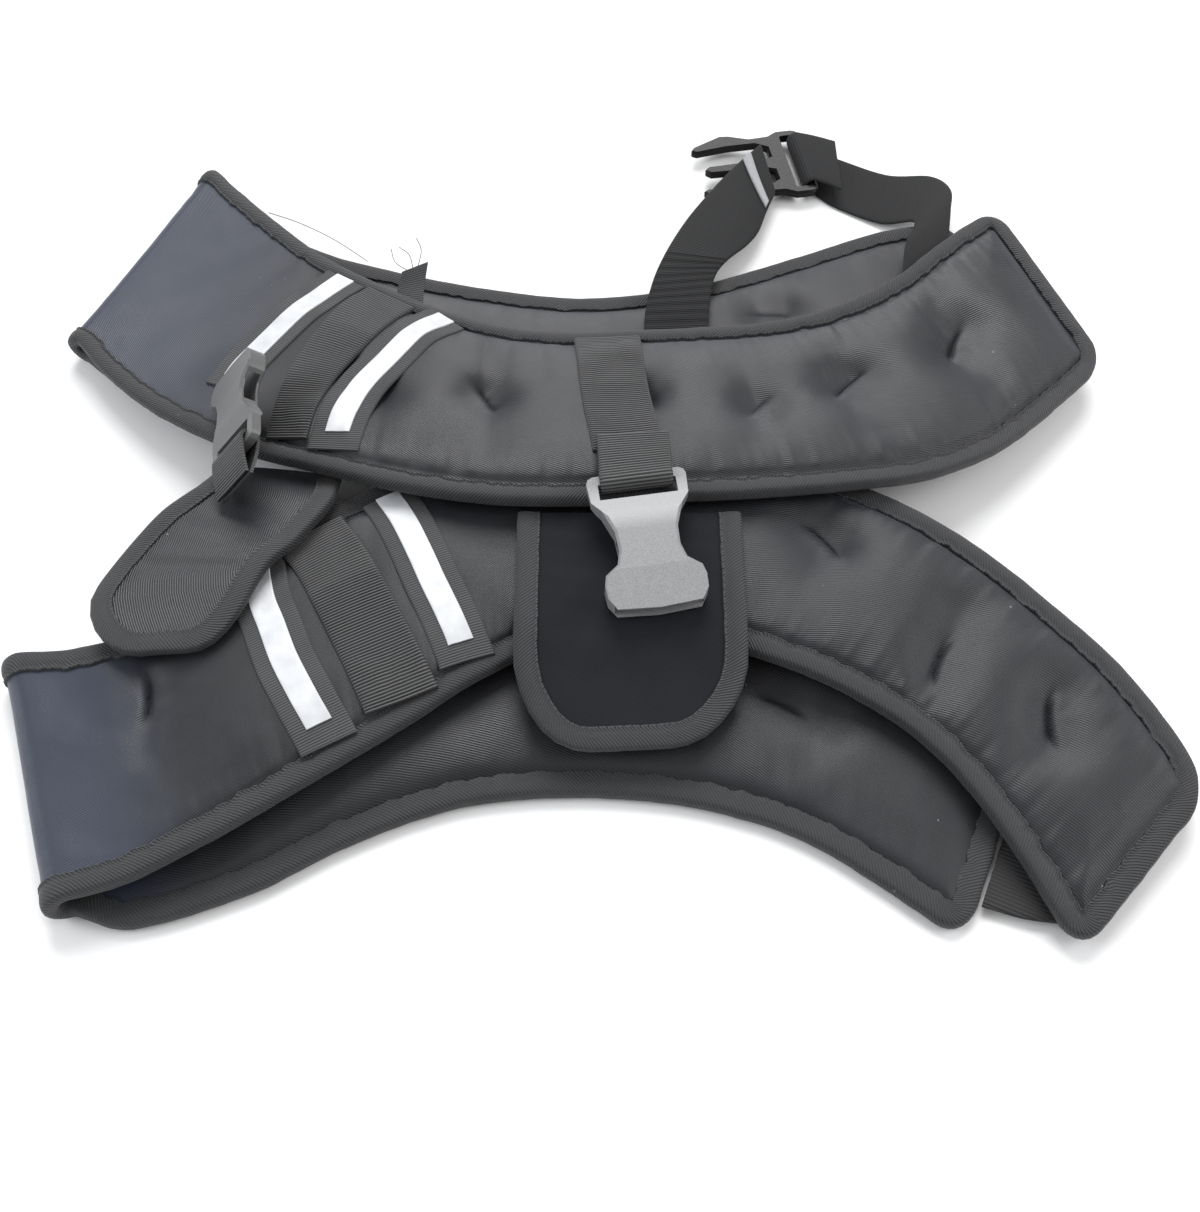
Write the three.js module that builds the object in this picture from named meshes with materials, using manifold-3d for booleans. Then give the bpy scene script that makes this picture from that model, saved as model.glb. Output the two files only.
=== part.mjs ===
// A weighted training vest of padded neoprene, lying folded flat on its back layers.
// Two padded halves, one for each side of the body, are long strips folded over at the waist.
// Millimetres, +Z up. The origin is the centre of the footprint on the surface that it lies on.
import * as THREE from "three";
import { mergeVertices } from "three/addons/utils/BufferGeometryUtils.js";
import Module from "manifold-3d";

const wasm = await Module();
wasm.setup();

// Driving sizes
const VEST_SPAN = 470; // waist fold to shoulder end
const VEST_REACH = 400; // armhole edge to armhole edge over both halves
const PAD_WIDTH = 100;
const PAD_THICKNESS = 13; // at the middle of a filled pocket
const EDGE_THICKNESS = 3.6; // neoprene where it is stitched flat
const PAD_CORNER = 13;
const SHOULDER_RISE = 26; // how far in from the binding a pocket reaches its full thickness
const BINDING_WIDTH = 8;
const BINDING_WALL = 1.2;
const GAP = 0.3;
const WEBBING_WIDTH = 30;
const WEBBING_THICKNESS = 1.6;
const TAPE_WIDTH = 23;
const TAPE_THICKNESS = 1;
const REFLECTOR_WIDTH = 10.5;
const REFLECTOR_THICKNESS = 0.5;
const FLAP_WIDTH = 90;
const SMALL_FLAP_WIDTH = 66;
const FLAP_THICKNESS = 2.6;
const FLAP_BINDING_WALL = 0.8;
const BAND_THICKNESS = 1.8; // elastic at the shoulder end
const BAND_WIDTH = 66;
const SMALL_WEBBING_WIDTH = 25; // the short loop of the waist buckle
const ADJUSTER_WIDTH = 38; // back strap
const BUCKLE_LENGTH = 60; // without the rounded end of the bar
const SMALL_BUCKLE_LENGTH = 47;
const BUCKLE_THICKNESS = 9.5;
const SMALL_BUCKLE_THICKNESS = 9;
const BUCKLE_RIM = 4.5; // plastic each side of the webbing slot
const BUCKLE_WALL = 1.8;
const SLOT_LENGTH = 7;
const BAR_THICKNESS = 4; // the bar that the webbing loops round
const LATCH_LENGTH = 57; // male half, bar to prong tips
const LATCH_THICKNESS = 4.4;
const KEEPER_WIDTH = 6; // silver strip round the back strap
const TAB_WIDTH = 13;

const BINDING_HALF = EDGE_THICKNESS / 2 + GAP + BINDING_WALL;
const REST = BINDING_HALF + GAP; // mid-height of a layer whose pockets lie on the surface
const LOOP_RADIUS = 0.71 * BAR_THICKNESS + GAP + WEBBING_THICKNESS / 2;

// Sections of each padded strip, from the shoulder end to the waist fold and back again.
// x and y are shares of VEST_SPAN and VEST_REACH, wide of PAD_WIDTH, lift and tilt of PAD_THICKNESS.
// turn is the angle in plan of the section, tilt how much higher its centre-line edge is,
// and fill the share of the full thickness.
const columns = (names, rows) => rows.map((r) => Object.fromEntries(names.map((n, i) => [n, r[i]])));
const SECTION = ["x", "y", "turn", "wide", "lift", "tilt", "fill"];
const LOWER_FRONT = columns(SECTION, [
  [0.448, -0.434, 43, 0.84, 0.42, 0.3, 0.8],
  [0.427, -0.372, 44, 0.85, 0.6, 0.25, 1],
  [0.392, -0.298, 45, 0.84, 0.85, 0.1, 1],
  [0.348, -0.235, 44, 0.83, 1.08, 0, 0.95],
  [0.295, -0.177, 39, 0.88, 1.2, 0, 1],
  [0.235, -0.13, 33, 0.93, 1.25, 0, 1],
  [0.163, -0.094, 24, 0.95, 1.25, 0, 1],
  [0.08, -0.077, 13, 0.95, 1.25, 0, 1],
  [-0.006, -0.08, 4, 0.97, 1.25, 0, 1],
  [-0.088, -0.108, -5, 1.05, 1.25, 0, 1],
  [-0.169, -0.16, -13, 1.12, 1.25, 0, 1],
  [-0.246, -0.226, -18, 1.08, 1.25, -0.08, 0.95],
  [-0.316, -0.295, -20, 0.98, 1.15, -0.15, 0.55],
  [-0.382, -0.33, -20, 1.04, 1.0, -0.2, 0.05],
  [-0.43, -0.34, -21, 1.1, 0.95, -0.25, 0],
]);
const LOWER_BACK = columns(SECTION, [
  [-0.43, -0.34, -21, 1.1, 0, 0, 0],
  [-0.378, -0.352, -19, 1.09, 0, 0, 0.1],
  [-0.287, -0.328, -18, 1.0, 0, 0, 0.8],
  [-0.202, -0.284, -12, 0.94, 0, 0, 0.95],
  [-0.106, -0.244, -6, 0.93, 0, 0, 0.95],
  [-0.004, -0.229, 0, 0.95, 0, 0, 0.95],
  [0.102, -0.238, 4, 0.96, 0, 0, 0.95],
  [0.197, -0.273, 10, 0.95, 0, 0, 0.9],
  [0.274, -0.329, 16, 0.94, 0, 0, 0.8],
  [0.342, -0.386, 24, 0.94, 0, 0, 0.55],
]);
const UPPER_FRONT = columns(SECTION, [
  [0.471, 0.305, 22, 1.0, 1.0, -0.5, 0.8],
  [0.414, 0.239, 22, 1.03, 1.24, -0.5, 1],
  [0.351, 0.168, 21, 1.03, 1.43, -0.2, 1],
  [0.283, 0.121, 19, 1.03, 1.62, 0.23, 1],
  [0.213, 0.098, 16, 1.03, 1.8, 0.69, 1],
  [0.14, 0.086, 11, 1.04, 1.92, 0.92, 1],
  [0.069, 0.079, 7, 1.05, 2.0, 1.08, 1],
  [-0.002, 0.075, 3, 1.05, 2.0, 1.08, 1],
  [-0.073, 0.081, 0, 1.08, 2.0, 1.08, 1],
  [-0.148, 0.106, -3, 1.12, 1.92, 0.92, 1],
  [-0.218, 0.145, -6, 1.17, 1.72, 0.69, 0.95],
  [-0.288, 0.192, -9, 1.24, 1.42, 0.38, 0.45],
  [-0.36, 0.259, -14, 1.29, 1.14, 0, 0.1],
  [-0.41, 0.318, -19, 1.27, 0.95, -0.12, 0.03],
  [-0.441, 0.363, -23, 1.22, 0.86, -0.15, 0],
]);
const UPPER_BACK = columns(SECTION, [
  [-0.441, 0.363, -23, 1.22, 0, 0, 0],
  [-0.4, 0.318, -21, 1.19, 0, 0, 0.1],
  [-0.314, 0.254, -17, 1.16, 0, 0, 0.7],
  [-0.216, 0.217, -13, 1.12, 0, 0, 0.9],
  [-0.103, 0.193, -7, 1.05, 0, 0, 0.95],
  [0.005, 0.184, -3, 1.0, 0, 0, 0.95],
  [0.12, 0.2, 0, 1.04, 0, 0, 0.95],
  [0.231, 0.245, 2, 1.07, 0, 0, 0.9],
  [0.33, 0.293, 5, 1.06, 0, 0, 0.7],
  [0.41, 0.318, 8, 1.0, 0, 0, 0.5],
]);

// Where the filling is sewn down: from one place to another, at a section number and a share of the width
// counted from the armhole edge. depth is a share of the thickness, reach a share of PAD_WIDTH.
const DENT = ["at", "across", "toAt", "toAcross", "depth", "reach"];
const UPPER_DENTS = columns(DENT, [
  [1.6, 0.42, 1.9, 0.5, 0.85, 0.13],
  [3.2, 0.42, 3.5, 0.48, 0.8, 0.13],
  [4.6, 0.52, 4.7, 0.55, 0.6, 0.12],
  [6.3, 0.38, 6.1, 0.45, 0.85, 0.1],
  [8.2, 0.45, 8.1, 0.5, 0.75, 0.1],
  [9.9, 0.52, 9.4, 0.6, 0.6, 0.1],
  [21.6, 0.3, 21.8, 0.34, 0.6, 0.12],
]);
const LOWER_DENTS = columns(DENT, [
  [1.9, 0.45, 2.3, 0.62, 0.8, 0.12],
  [3.7, 0.62, 3.3, 0.1, 0.7, 0.11],
  [5.3, 0.62, 5.6, 0.68, 0.8, 0.13],
  [12.2, 0.95, 12.5, 0.45, 0.7, 0.07],
  [21.4, 0.55, 22.1, 0.5, 0.7, 0.12],
]);

// Reads a table between its rows, with a smooth curve through them
function between(rows, at) {
  const last = rows.length - 1;
  const i = Math.min(Math.max(Math.floor(at), 0), last - 1);
  const t = at - i;
  const out = {};
  for (const name of Object.keys(rows[0])) {
    const p1 = rows[i][name];
    const p2 = rows[i + 1][name];
    const p0 = i > 0 ? rows[i - 1][name] : 2 * p1 - p2;
    const p3 = i + 2 <= last ? rows[i + 2][name] : 2 * p2 - p1;
    out[name] = p1 + 0.5 * t * (p2 - p0 + t * (2 * p0 - 5 * p1 + 4 * p2 - p3 + t * (3 * (p1 - p2) + p3 - p0)));
  }
  return out;
}

// A strip: rows of sections, with or without a fold and a second layer. toward is the side of its centre edge.
class Strip {
  constructor({ front, back = null, toward, width, corners, dents = [], thickness, edge }) {
    Object.assign(this, { front, back, toward, width, corners, dents, thickness, edge });
    this.foldAt = front.length - 1;
    this.end = back ? this.foldAt + 1 + back.length - 1 : this.foldAt;
    this.dentLines = dents.map((d) => [this.point(d.at, d.across), this.point(d.toAt, d.toAcross), d]);
  }
  rowPoint(row, across) {
    const turn = THREE.MathUtils.degToRad(row.turn);
    const reach = (across - 0.5) * row.wide * this.width;
    return new THREE.Vector3(
      row.x * VEST_SPAN + reach * Math.sin(turn),
      row.y * VEST_REACH + reach * Math.cos(turn) * this.toward,
      REST + (row.lift + row.tilt * (across - 0.5)) * PAD_THICKNESS,
    );
  }
  // How much the rounded corners narrow the strip at this place
  narrowing(at) {
    let share = 1;
    const ends = [
      [this.corners.start, at, this.point0(0).distanceTo(this.point0(0.5)) * 2],
      [this.corners.end, this.end - at, this.point0(this.end).distanceTo(this.point0(this.end - 0.5)) * 2],
    ];
    for (const [radius, sections, sectionLength] of ends) {
      const d = sections * sectionLength;
      if (!radius || d >= radius.along) continue;
      const s = 1 - d / radius.along;
      share -= (2 * radius.across * (1 - Math.sqrt(1 - s * s))) / (this.rowAt(at).wide * this.width);
    }
    return share;
  }
  rowAt(at) {
    if (at <= this.foldAt || !this.back) return between(this.front, at);
    if (at >= this.foldAt + 1) return between(this.back, at - this.foldAt - 1);
    return this.front[this.foldAt];
  }
  point0(at) {
    return this.rowPoint(this.rowAt(at), 0.5);
  }
  // The middle of the cloth's thickness at a section number and a share of the width
  point(at, across) {
    if (!this.back || at <= this.foldAt || at >= this.foldAt + 1) {
      return this.rowPoint(this.rowAt(at), 0.5 + (across - 0.5) * this.narrowing(at));
    }
    const over = this.rowPoint(this.front[this.foldAt], across);
    const under = this.rowPoint(this.back[0], across);
    const angle = (at - this.foldAt) * Math.PI;
    const turn = THREE.MathUtils.degToRad(this.front[this.foldAt].turn);
    const outward = new THREE.Vector3(-Math.cos(turn), Math.sin(turn) * this.toward, 0);
    const half = over.clone().sub(under).multiplyScalar(0.5);
    return over.clone().add(under).multiplyScalar(0.5)
      .addScaledVector(half, Math.cos(angle))
      .addScaledVector(outward, half.length() * Math.sin(angle));
  }
  // Directions along the strip, across it and out of its outer face
  frame(at, across) {
    const step = 0.02;
    const a0 = Math.max(at - step, 0);
    const a1 = Math.min(at + step, this.end);
    const along = this.point(a1, across).sub(this.point(a0, across)).normalize();
    const over = this.point(at, Math.min(across + step, 1)).sub(this.point(at, Math.max(across - step, 0))).normalize();
    const face = new THREE.Vector3().crossVectors(over, along).multiplyScalar(this.toward).normalize();
    return { along, over, face };
  }
  // The filling's share of the full thickness: nothing under the binding, round shoulders, sewn dents
  fullness(at, across) {
    const row = this.rowAt(at);
    const edgeDistance = Math.min(across, 1 - across) * row.wide * this.width * this.narrowing(at);
    const startDistance = this.corners.start ? at * this.point0(0).distanceTo(this.point0(1)) : Infinity;
    const endDistance = this.corners.end ? (this.end - at) * this.point0(this.end).distanceTo(this.point0(this.end - 1)) : Infinity;
    const inward = Math.min(edgeDistance, startDistance, endDistance) - BINDING_WIDTH - 0.5;
    const rise = THREE.MathUtils.clamp(inward / SHOULDER_RISE, 0, 1);
    let full = Math.sqrt(1 - (1 - rise) ** 2) * Math.max(row.fill, 0);
    const here = this.point(at, across);
    for (const [from, to, dent] of this.dentLines) {
      const line = new THREE.Line3(from, to);
      const near = line.closestPointToPoint(here, true, new THREE.Vector3());
      const r = near.distanceTo(here) / (dent.reach * PAD_WIDTH);
      full *= 1 - dent.depth * Math.exp(-r * r);
    }
    return full;
  }
  // Height of the outer (+1) or inner (-1) face over the middle. A layer on its back bulges inwards.
  depth(at, across, face) {
    const onBack = this.back && at > this.foldAt + 0.5;
    const share = onBack ? (face > 0 ? 0.25 : 0.75) : face > 0 ? 0.62 : 0.38;
    return this.edge / 2 + share * (this.thickness - this.edge) * this.fullness(at, across);
  }
  surface(at, across, face, grow = 0) {
    const p = this.point(at, across);
    p.addScaledVector(this.frame(at, across).face, face * (this.depth(at, across, face) + grow));
    p.z = Math.max(p.z, grow > 0 ? -1 : 0);
    return p;
  }
  // Section numbers to model: three for every two rows, more round the corners and the fold
  stations() {
    const list = [];
    const cornerSteps = [0, 0.15, 0.66, 1];
    const startSection = this.point0(0).distanceTo(this.point0(0.5)) * 2;
    const endSection = this.point0(this.end).distanceTo(this.point0(this.end - 0.5)) * 2;
    const head = this.corners.start ? this.corners.start.along / startSection : 0;
    const tail = this.corners.end ? this.corners.end.along / endSection : 0;
    for (const s of cornerSteps) if (head || s === 0) list.push(s * head);
    const perRow = this.back ? 1.5 : this.perRow ?? 1;
    for (let i = 1; i < this.end * perRow; i++) {
      const at = i / perRow;
      const inFold = this.back && at > this.foldAt - 0.1 && at < this.foldAt + 1.1;
      if (at > head + 0.2 / perRow && at < this.end - tail - 0.2 / perRow && !inFold) list.push(at);
    }
    if (this.back) {
      list.push(...[0, 0.25, 0.5, 0.75, 1].map((s) => this.foldAt + s));
      list.sort((a, b) => a - b);
    }
    for (const s of [...cornerSteps].reverse()) if (tail || s === 0) list.push(this.end - s * tail);
    return list;
  }
}

// Solids from points
function geometryOf(points, triangles) {
  const g = new THREE.BufferGeometry();
  g.setAttribute("position", new THREE.Float32BufferAttribute(points.flatMap((p) => [p.x, p.y, p.z]), 3));
  g.setIndex(triangles.flat());
  return g;
}

function solidOf(geometry) {
  const bare = geometry.clone();
  bare.deleteAttribute("normal");
  bare.deleteAttribute("uv");
  const merged = mergeVertices(bare, 1e-4);
  const mesh = new wasm.Mesh({
    numProp: 3,
    vertProperties: merged.attributes.position.array,
    triVerts: new Uint32Array(merged.index.array),
  });
  const solid = new wasm.Manifold(mesh);
  if (solid.volume() > 0) return solid;
  const turned = merged.index.array.slice();
  for (let i = 0; i < turned.length; i += 3) [turned[i + 1], turned[i + 2]] = [turned[i + 2], turned[i + 1]];
  mesh.triVerts.set(turned);
  return new wasm.Manifold(new wasm.Mesh({ numProp: 3, vertProperties: mesh.vertProperties, triVerts: turned }));
}

function geometryFrom(solid) {
  const mesh = solid.getMesh();
  const g = new THREE.BufferGeometry();
  g.setAttribute("position", new THREE.BufferAttribute(new Float32Array(mesh.vertProperties), 3));
  g.setIndex(new THREE.BufferAttribute(new Uint32Array(mesh.triVerts), 1));
  return g;
}

// The largest body of a cut solid: crumbs that a cut leaves are dropped
function largest(solid) {
  return solid.decompose().sort((a, b) => b.volume() - a.volume())[0];
}

// A closed slab from two grids of points of the same size: its upper and its lower face
function slab(upper, lower) {
  const rows = upper.length;
  const cols = upper[0].length;
  const points = [...upper.flat(), ...lower.flat()];
  const top = (i, j) => i * cols + j;
  const bottom = (i, j) => rows * cols + i * cols + j;
  const triangles = [];
  const quad = (a, b, c, d) => triangles.push([a, b, c], [a, c, d]);
  for (let i = 0; i + 1 < rows; i++) {
    for (let j = 0; j + 1 < cols; j++) {
      quad(top(i, j), top(i + 1, j), top(i + 1, j + 1), top(i, j + 1));
      quad(bottom(i, j), bottom(i, j + 1), bottom(i + 1, j + 1), bottom(i + 1, j));
    }
    quad(top(i, 0), bottom(i, 0), bottom(i + 1, 0), top(i + 1, 0));
    quad(top(i, cols - 1), top(i + 1, cols - 1), bottom(i + 1, cols - 1), bottom(i, cols - 1));
  }
  for (let j = 0; j + 1 < cols; j++) {
    quad(top(0, j), top(0, j + 1), bottom(0, j + 1), bottom(0, j));
    quad(top(rows - 1, j), bottom(rows - 1, j), bottom(rows - 1, j + 1), top(rows - 1, j + 1));
  }
  return solidOf(geometryOf(points, triangles));
}

// A profile of [out, up] pairs carried along stations of { p, out, up }, closed on itself or capped
function sweep(stations, profile, closed) {
  const n = profile.length;
  const points = stations.flatMap((s) => profile.map(([w, h]) => s.p.clone().addScaledVector(s.out, w).addScaledVector(s.up, h)));
  points.forEach((p) => (p.z = Math.max(p.z, 0)));
  const triangles = [];
  const rings = stations.length;
  for (let i = 0; i < (closed ? rings : rings - 1); i++) {
    const next = (i + 1) % rings;
    for (let j = 0; j < n; j++) {
      const k = (j + 1) % n;
      triangles.push([i * n + j, next * n + j, next * n + k], [i * n + j, next * n + k, i * n + k]);
    }
  }
  if (!closed) {
    const flat = profile.map(([x, y]) => new THREE.Vector2(x, y));
    const turn = Math.sign(THREE.ShapeUtils.area(flat));
    for (const [a, b, c] of THREE.ShapeUtils.triangulateShape(flat, [])) {
      const same = Math.sign(THREE.ShapeUtils.area([flat[a], flat[b], flat[c]])) === turn;
      const [first, second] = same ? [b, c] : [c, b];
      triangles.push([a, first, second], [(rings - 1) * n + a, (rings - 1) * n + second, (rings - 1) * n + first]);
    }
  }
  return solidOf(geometryOf(points, triangles));
}

// Shares of the width at which a section is modelled: the stitched edge, the shoulders, the middle
function acrossShares(strip, at) {
  const b = (BINDING_WIDTH + 0.5) / (strip.rowAt(at).wide * strip.width * strip.narrowing(at));
  const inner = [0, 0.12, 0.3, 0.5].map((s) => b + s * (1 - 2 * b));
  return [0, ...inner, ...inner.slice(0, 3).reverse().map((s) => 1 - s), 1];
}

function padSolid(strip, grow = 0) {
  const face = (side) => strip.stations().map((at) => acrossShares(strip, at).map((v) => strip.surface(at, v, side, grow)));
  return slab(face(1), face(-1));
}

// Places round the edge of a strip, with the directions out of the edge and out of the face
function edgeStations(strip, openStart) {
  const stations = strip.stations();
  const shares = [0.28, 0.5, 0.72];
  const path = [];
  for (const at of stations) path.push([at, 0]);
  for (const v of shares) path.push([strip.end, v]);
  for (const at of [...stations].reverse()) path.push([at, 1]);
  if (!openStart) for (const v of [...shares].reverse()) path.push([0, v]);
  const points = path.map(([at, v]) => strip.point(at, v));
  return path.map(([at, v], i) => {
    const before = points[openStart ? Math.max(i - 1, 0) : (i + path.length - 1) % path.length];
    const after = points[openStart ? Math.min(i + 1, path.length - 1) : (i + 1) % path.length];
    const along = after.clone().sub(before).normalize();
    const inset = THREE.MathUtils.clamp(at, 0.05, strip.end - 0.05);
    const up = strip.frame(inset, THREE.MathUtils.clamp(v, 0.03, 0.97)).face;
    const out = new THREE.Vector3().crossVectors(up, along).multiplyScalar(strip.toward).normalize();
    return { p: points[i], out, up: new THREE.Vector3().crossVectors(along, out).multiplyScalar(strip.toward).normalize() };
  });
}

// A tape folded over the edge of a strip: a channel with a rounded back
function bindingSolid(strip, wall, width, openStart = false) {
  const slot = strip.edge / 2 + GAP;
  const half = slot + wall;
  const profile = [
    [-width, half], [GAP, half], [GAP + wall + 0.5, 0], [GAP, -half], [-width, -half],
    [-width, -slot], [GAP, -slot], [GAP, slot], [-width, slot],
  ];
  return sweep(edgeStations(strip, openStart), profile, !openStart);
}

// A cloth strip of one thickness, modelled at the given shares of its width
function clothSolid(strip, shares = [0, 0.5, 1], grow = 0) {
  const face = (side) => strip.stations().map((at) => shares.map((v) => strip.surface(at, v, side, grow)));
  return slab(face(1), face(-1));
}

// A ribbon sewn on the outer face of a strip, along a path of [at, across] places
function ribbonSolid(strip, path, width, thickness, lift) {
  const rows = columns(["at", "across", "wide"], path.map((p) => [p[0], p[1], p[2] ?? 1]));
  const count = rows.length * 2 - 1;
  const grids = [[], []];
  for (let i = 0; i < count; i++) {
    const here = between(rows, (i * (rows.length - 1)) / (count - 1));
    const ahead = between(rows, ((i + 0.1) * (rows.length - 1)) / (count - 1));
    const { along, over, face } = strip.frame(here.at, here.across);
    const p = strip.point(here.at, here.across);
    const side = new THREE.Vector3().crossVectors(face, strip.point(ahead.at, ahead.across).sub(p)).normalize();
    const perSection = strip.point(here.at + 0.1, here.across).distanceTo(p) * 10;
    const perShare = strip.point(here.at, here.across + 0.05).distanceTo(p) * 20;
    const skew = along.dot(over);
    const a = (side.dot(along) - skew * side.dot(over)) / (1 - skew * skew);
    const b = (side.dot(over) - skew * side.dot(along)) / (1 - skew * skew);
    const rowAt = (s, height) => {
      const reach = s * width * here.wide;
      const across = THREE.MathUtils.clamp(here.across + (reach * b) / perShare, 0.02, 0.98);
      return strip.surface(here.at + (reach * a) / perSection, across, 1, height);
    };
    grids[0].push([0.5, 0, -0.5].map((s) => rowAt(s, lift + thickness)));
    grids[1].push([0.5, 0, -0.5].map((s) => rowAt(s, lift)));
  }
  return slab(grids[0], grids[1]);
}

// The part of a solid that stays clear of others
function clear(solid, others) {
  let out = solid;
  for (const other of others) {
    const shared = out.intersect(other);
    if (shared.volume() > 1e-4) out = largest(out.subtract(other));
  }
  return out;
}

// Plastic parts lie along +Y from the middle of their bar, with +Z out of the top face
function outline(points) {
  const shape = new THREE.Shape();
  points.forEach(([x, y], i) => (i ? shape.lineTo(x, y) : shape.moveTo(x, y)));
  [...points].reverse().filter(([x]) => x > 1e-6).forEach(([x, y]) => shape.lineTo(-x, y));
  return shape;
}

function plate(shape, thickness, bevel) {
  const g = new THREE.ExtrudeGeometry(shape, {
    depth: thickness - 2 * bevel,
    bevelThickness: bevel,
    bevelSize: bevel,
    bevelOffset: -bevel,
    bevelSegments: 1,
    curveSegments: 6,
  });
  g.translate(0, 0, bevel - thickness / 2);
  return solidOf(g);
}

function block(width, y0, y1, height) {
  return solidOf(new THREE.BoxGeometry(width, y1 - y0, height).translate(0, (y0 + y1) / 2, 0));
}

function slotHole(width, y0, y1) {
  return block(width, y0, y1, 50);
}

// The housing half of a side-release buckle: bar, slot, narrow waist with open sides, wide mouth
function housing(webbing, length, thickness) {
  const half = webbing / 2 + 1 + BUCKLE_RIM;
  const bar = BAR_THICKNESS / 2;
  const slotEnd = bar + SLOT_LENGTH;
  const plan = outline([
    [0, -bar - 0.4],
    [half - 3, -bar],
    [half - 0.8, -bar + 1],
    [half, 1],
    [half - 0.6, slotEnd + 1],
    [half * 0.8, slotEnd + 6],
    [half * 0.62, length * 0.42],
    [half * 0.6, length * 0.56],
    [half * 0.68, length * 0.66],
    [half * 0.94, length * 0.73],
    [half * 0.99, length * 0.8],
    [half * 0.97, length * 0.9],
    [half * 0.82, length * 0.98],
    [0, length],
  ]);
  const side = new THREE.Shape();
  const t = thickness / 2;
  side.moveTo(-bar - 2, -bar);
  [[slotEnd, -bar], [slotEnd + 5, -t], [length + 2, -t], [length + 2, t - 1.2], [length * 0.7, t]]
    .forEach(([y, z]) => side.lineTo(y, z));
  [[slotEnd + 9, t], [slotEnd, bar], [-bar - 2, bar]].forEach(([y, z]) => side.lineTo(y, z));
  const wedge = new THREE.ExtrudeGeometry(side, { depth: 4 * half, bevelEnabled: false });
  wedge.translate(0, 0, -2 * half);
  wedge.applyMatrix4(new THREE.Matrix4().makeBasis(
    new THREE.Vector3(0, 1, 0), new THREE.Vector3(0, 0, 1), new THREE.Vector3(1, 0, 0),
  ));
  const cavity = thickness - 2 * BUCKLE_WALL;
  return plate(plan, thickness, 1)
    .intersect(solidOf(wedge))
    .subtract(slotHole(webbing + 2, bar, slotEnd))
    .subtract(block(2 * half - 5.5, length * 0.5, length + 5, cavity))
    .subtract(block(3 * half, length * 0.46, length * 0.7, cavity));
}

// The latch half: frame with a slot, a guide prong and two sprung prongs with hooked heads
function latch(webbing, length, thickness) {
  const half = webbing / 2 + 1 + BUCKLE_RIM;
  const bar = BAR_THICKNESS / 2;
  const root = bar + SLOT_LENGTH;
  const plan = outline([
    [0, -bar],
    [half - 3, -bar],
    [half - 0.8, -bar + 1.2],
    [half, 2],
    [half, root + 1],
    [half * 0.88, root + 6],
    [half * 0.86, root + 16],
    [half * 1.02, length * 0.62],
    [half * 1.04, length * 0.7],
    [half * 0.78, length * 0.96],
    [half * 0.64, length],
    [half * 0.56, length * 0.95],
    [half * 0.64, length * 0.66],
    [half * 0.64, root + 14],
    [half * 0.5, root + 8],
    [half * 0.22, root + 8],
    [half * 0.16, root + 12],
    [half * 0.12, length * 0.88],
    [0, length * 0.93],
  ]);
  return plate(plan, thickness, 1).subtract(slotHole(webbing + 2, bar, root));
}

// A short webbing loop round a bar, both ends stitched together at tail
function loopSolid(webbing, tail) {
  const outer = LOOP_RADIUS + WEBBING_THICKNESS / 2;
  const inner = LOOP_RADIUS - WEBBING_THICKNESS / 2;
  const ring = (r, end, pinch) => [
    ...[-90, -54, -18, 18, 54, 90].map((a) => {
      const t = THREE.MathUtils.degToRad(a);
      return new THREE.Vector2(r * Math.cos(t), r * Math.sin(t));
    }),
    new THREE.Vector2(-end, pinch),
    new THREE.Vector2(-end, -pinch),
  ];
  const shape = new THREE.Shape(ring(outer, tail, WEBBING_THICKNESS));
  shape.holes.push(new THREE.Path(ring(inner, tail - 6, 0.2)));
  const g = new THREE.ExtrudeGeometry(shape, { depth: webbing, bevelEnabled: false });
  g.translate(0, 0, -webbing / 2);
  g.applyMatrix4(new THREE.Matrix4().makeBasis(
    new THREE.Vector3(0, 1, 0), new THREE.Vector3(0, 0, 1), new THREE.Vector3(1, 0, 0),
  ));
  return solidOf(g);
}

// Turns a plastic part from its own axes to its place: origin, direction to its front, direction to its right
function placed(solid, origin, front, right) {
  const y = new THREE.Vector3(...front).normalize();
  const x = new THREE.Vector3(...right).projectOnPlane(y).normalize();
  const z = new THREE.Vector3().crossVectors(x, y);
  const at = new THREE.Vector3(origin[0] * VEST_SPAN, origin[1] * VEST_REACH, origin[2]);
  return solidOf(geometryFrom(solid).applyMatrix4(new THREE.Matrix4().makeBasis(x, y, z).setPosition(at)));
}

const lowerStrip = new Strip({
  front: LOWER_FRONT,
  back: LOWER_BACK,
  toward: 1,
  width: PAD_WIDTH,
  corners: { start: { along: PAD_CORNER, across: PAD_CORNER }, end: { along: PAD_CORNER, across: PAD_CORNER } },
  dents: LOWER_DENTS,
  thickness: PAD_THICKNESS,
  edge: EDGE_THICKNESS,
});
const upperStrip = new Strip({
  front: UPPER_FRONT,
  back: UPPER_BACK,
  toward: -1,
  width: PAD_WIDTH,
  corners: { start: { along: PAD_CORNER, across: PAD_CORNER }, end: { along: PAD_CORNER, across: PAD_CORNER } },
  dents: UPPER_DENTS,
  thickness: PAD_THICKNESS,
  edge: EDGE_THICKNESS,
});

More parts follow.
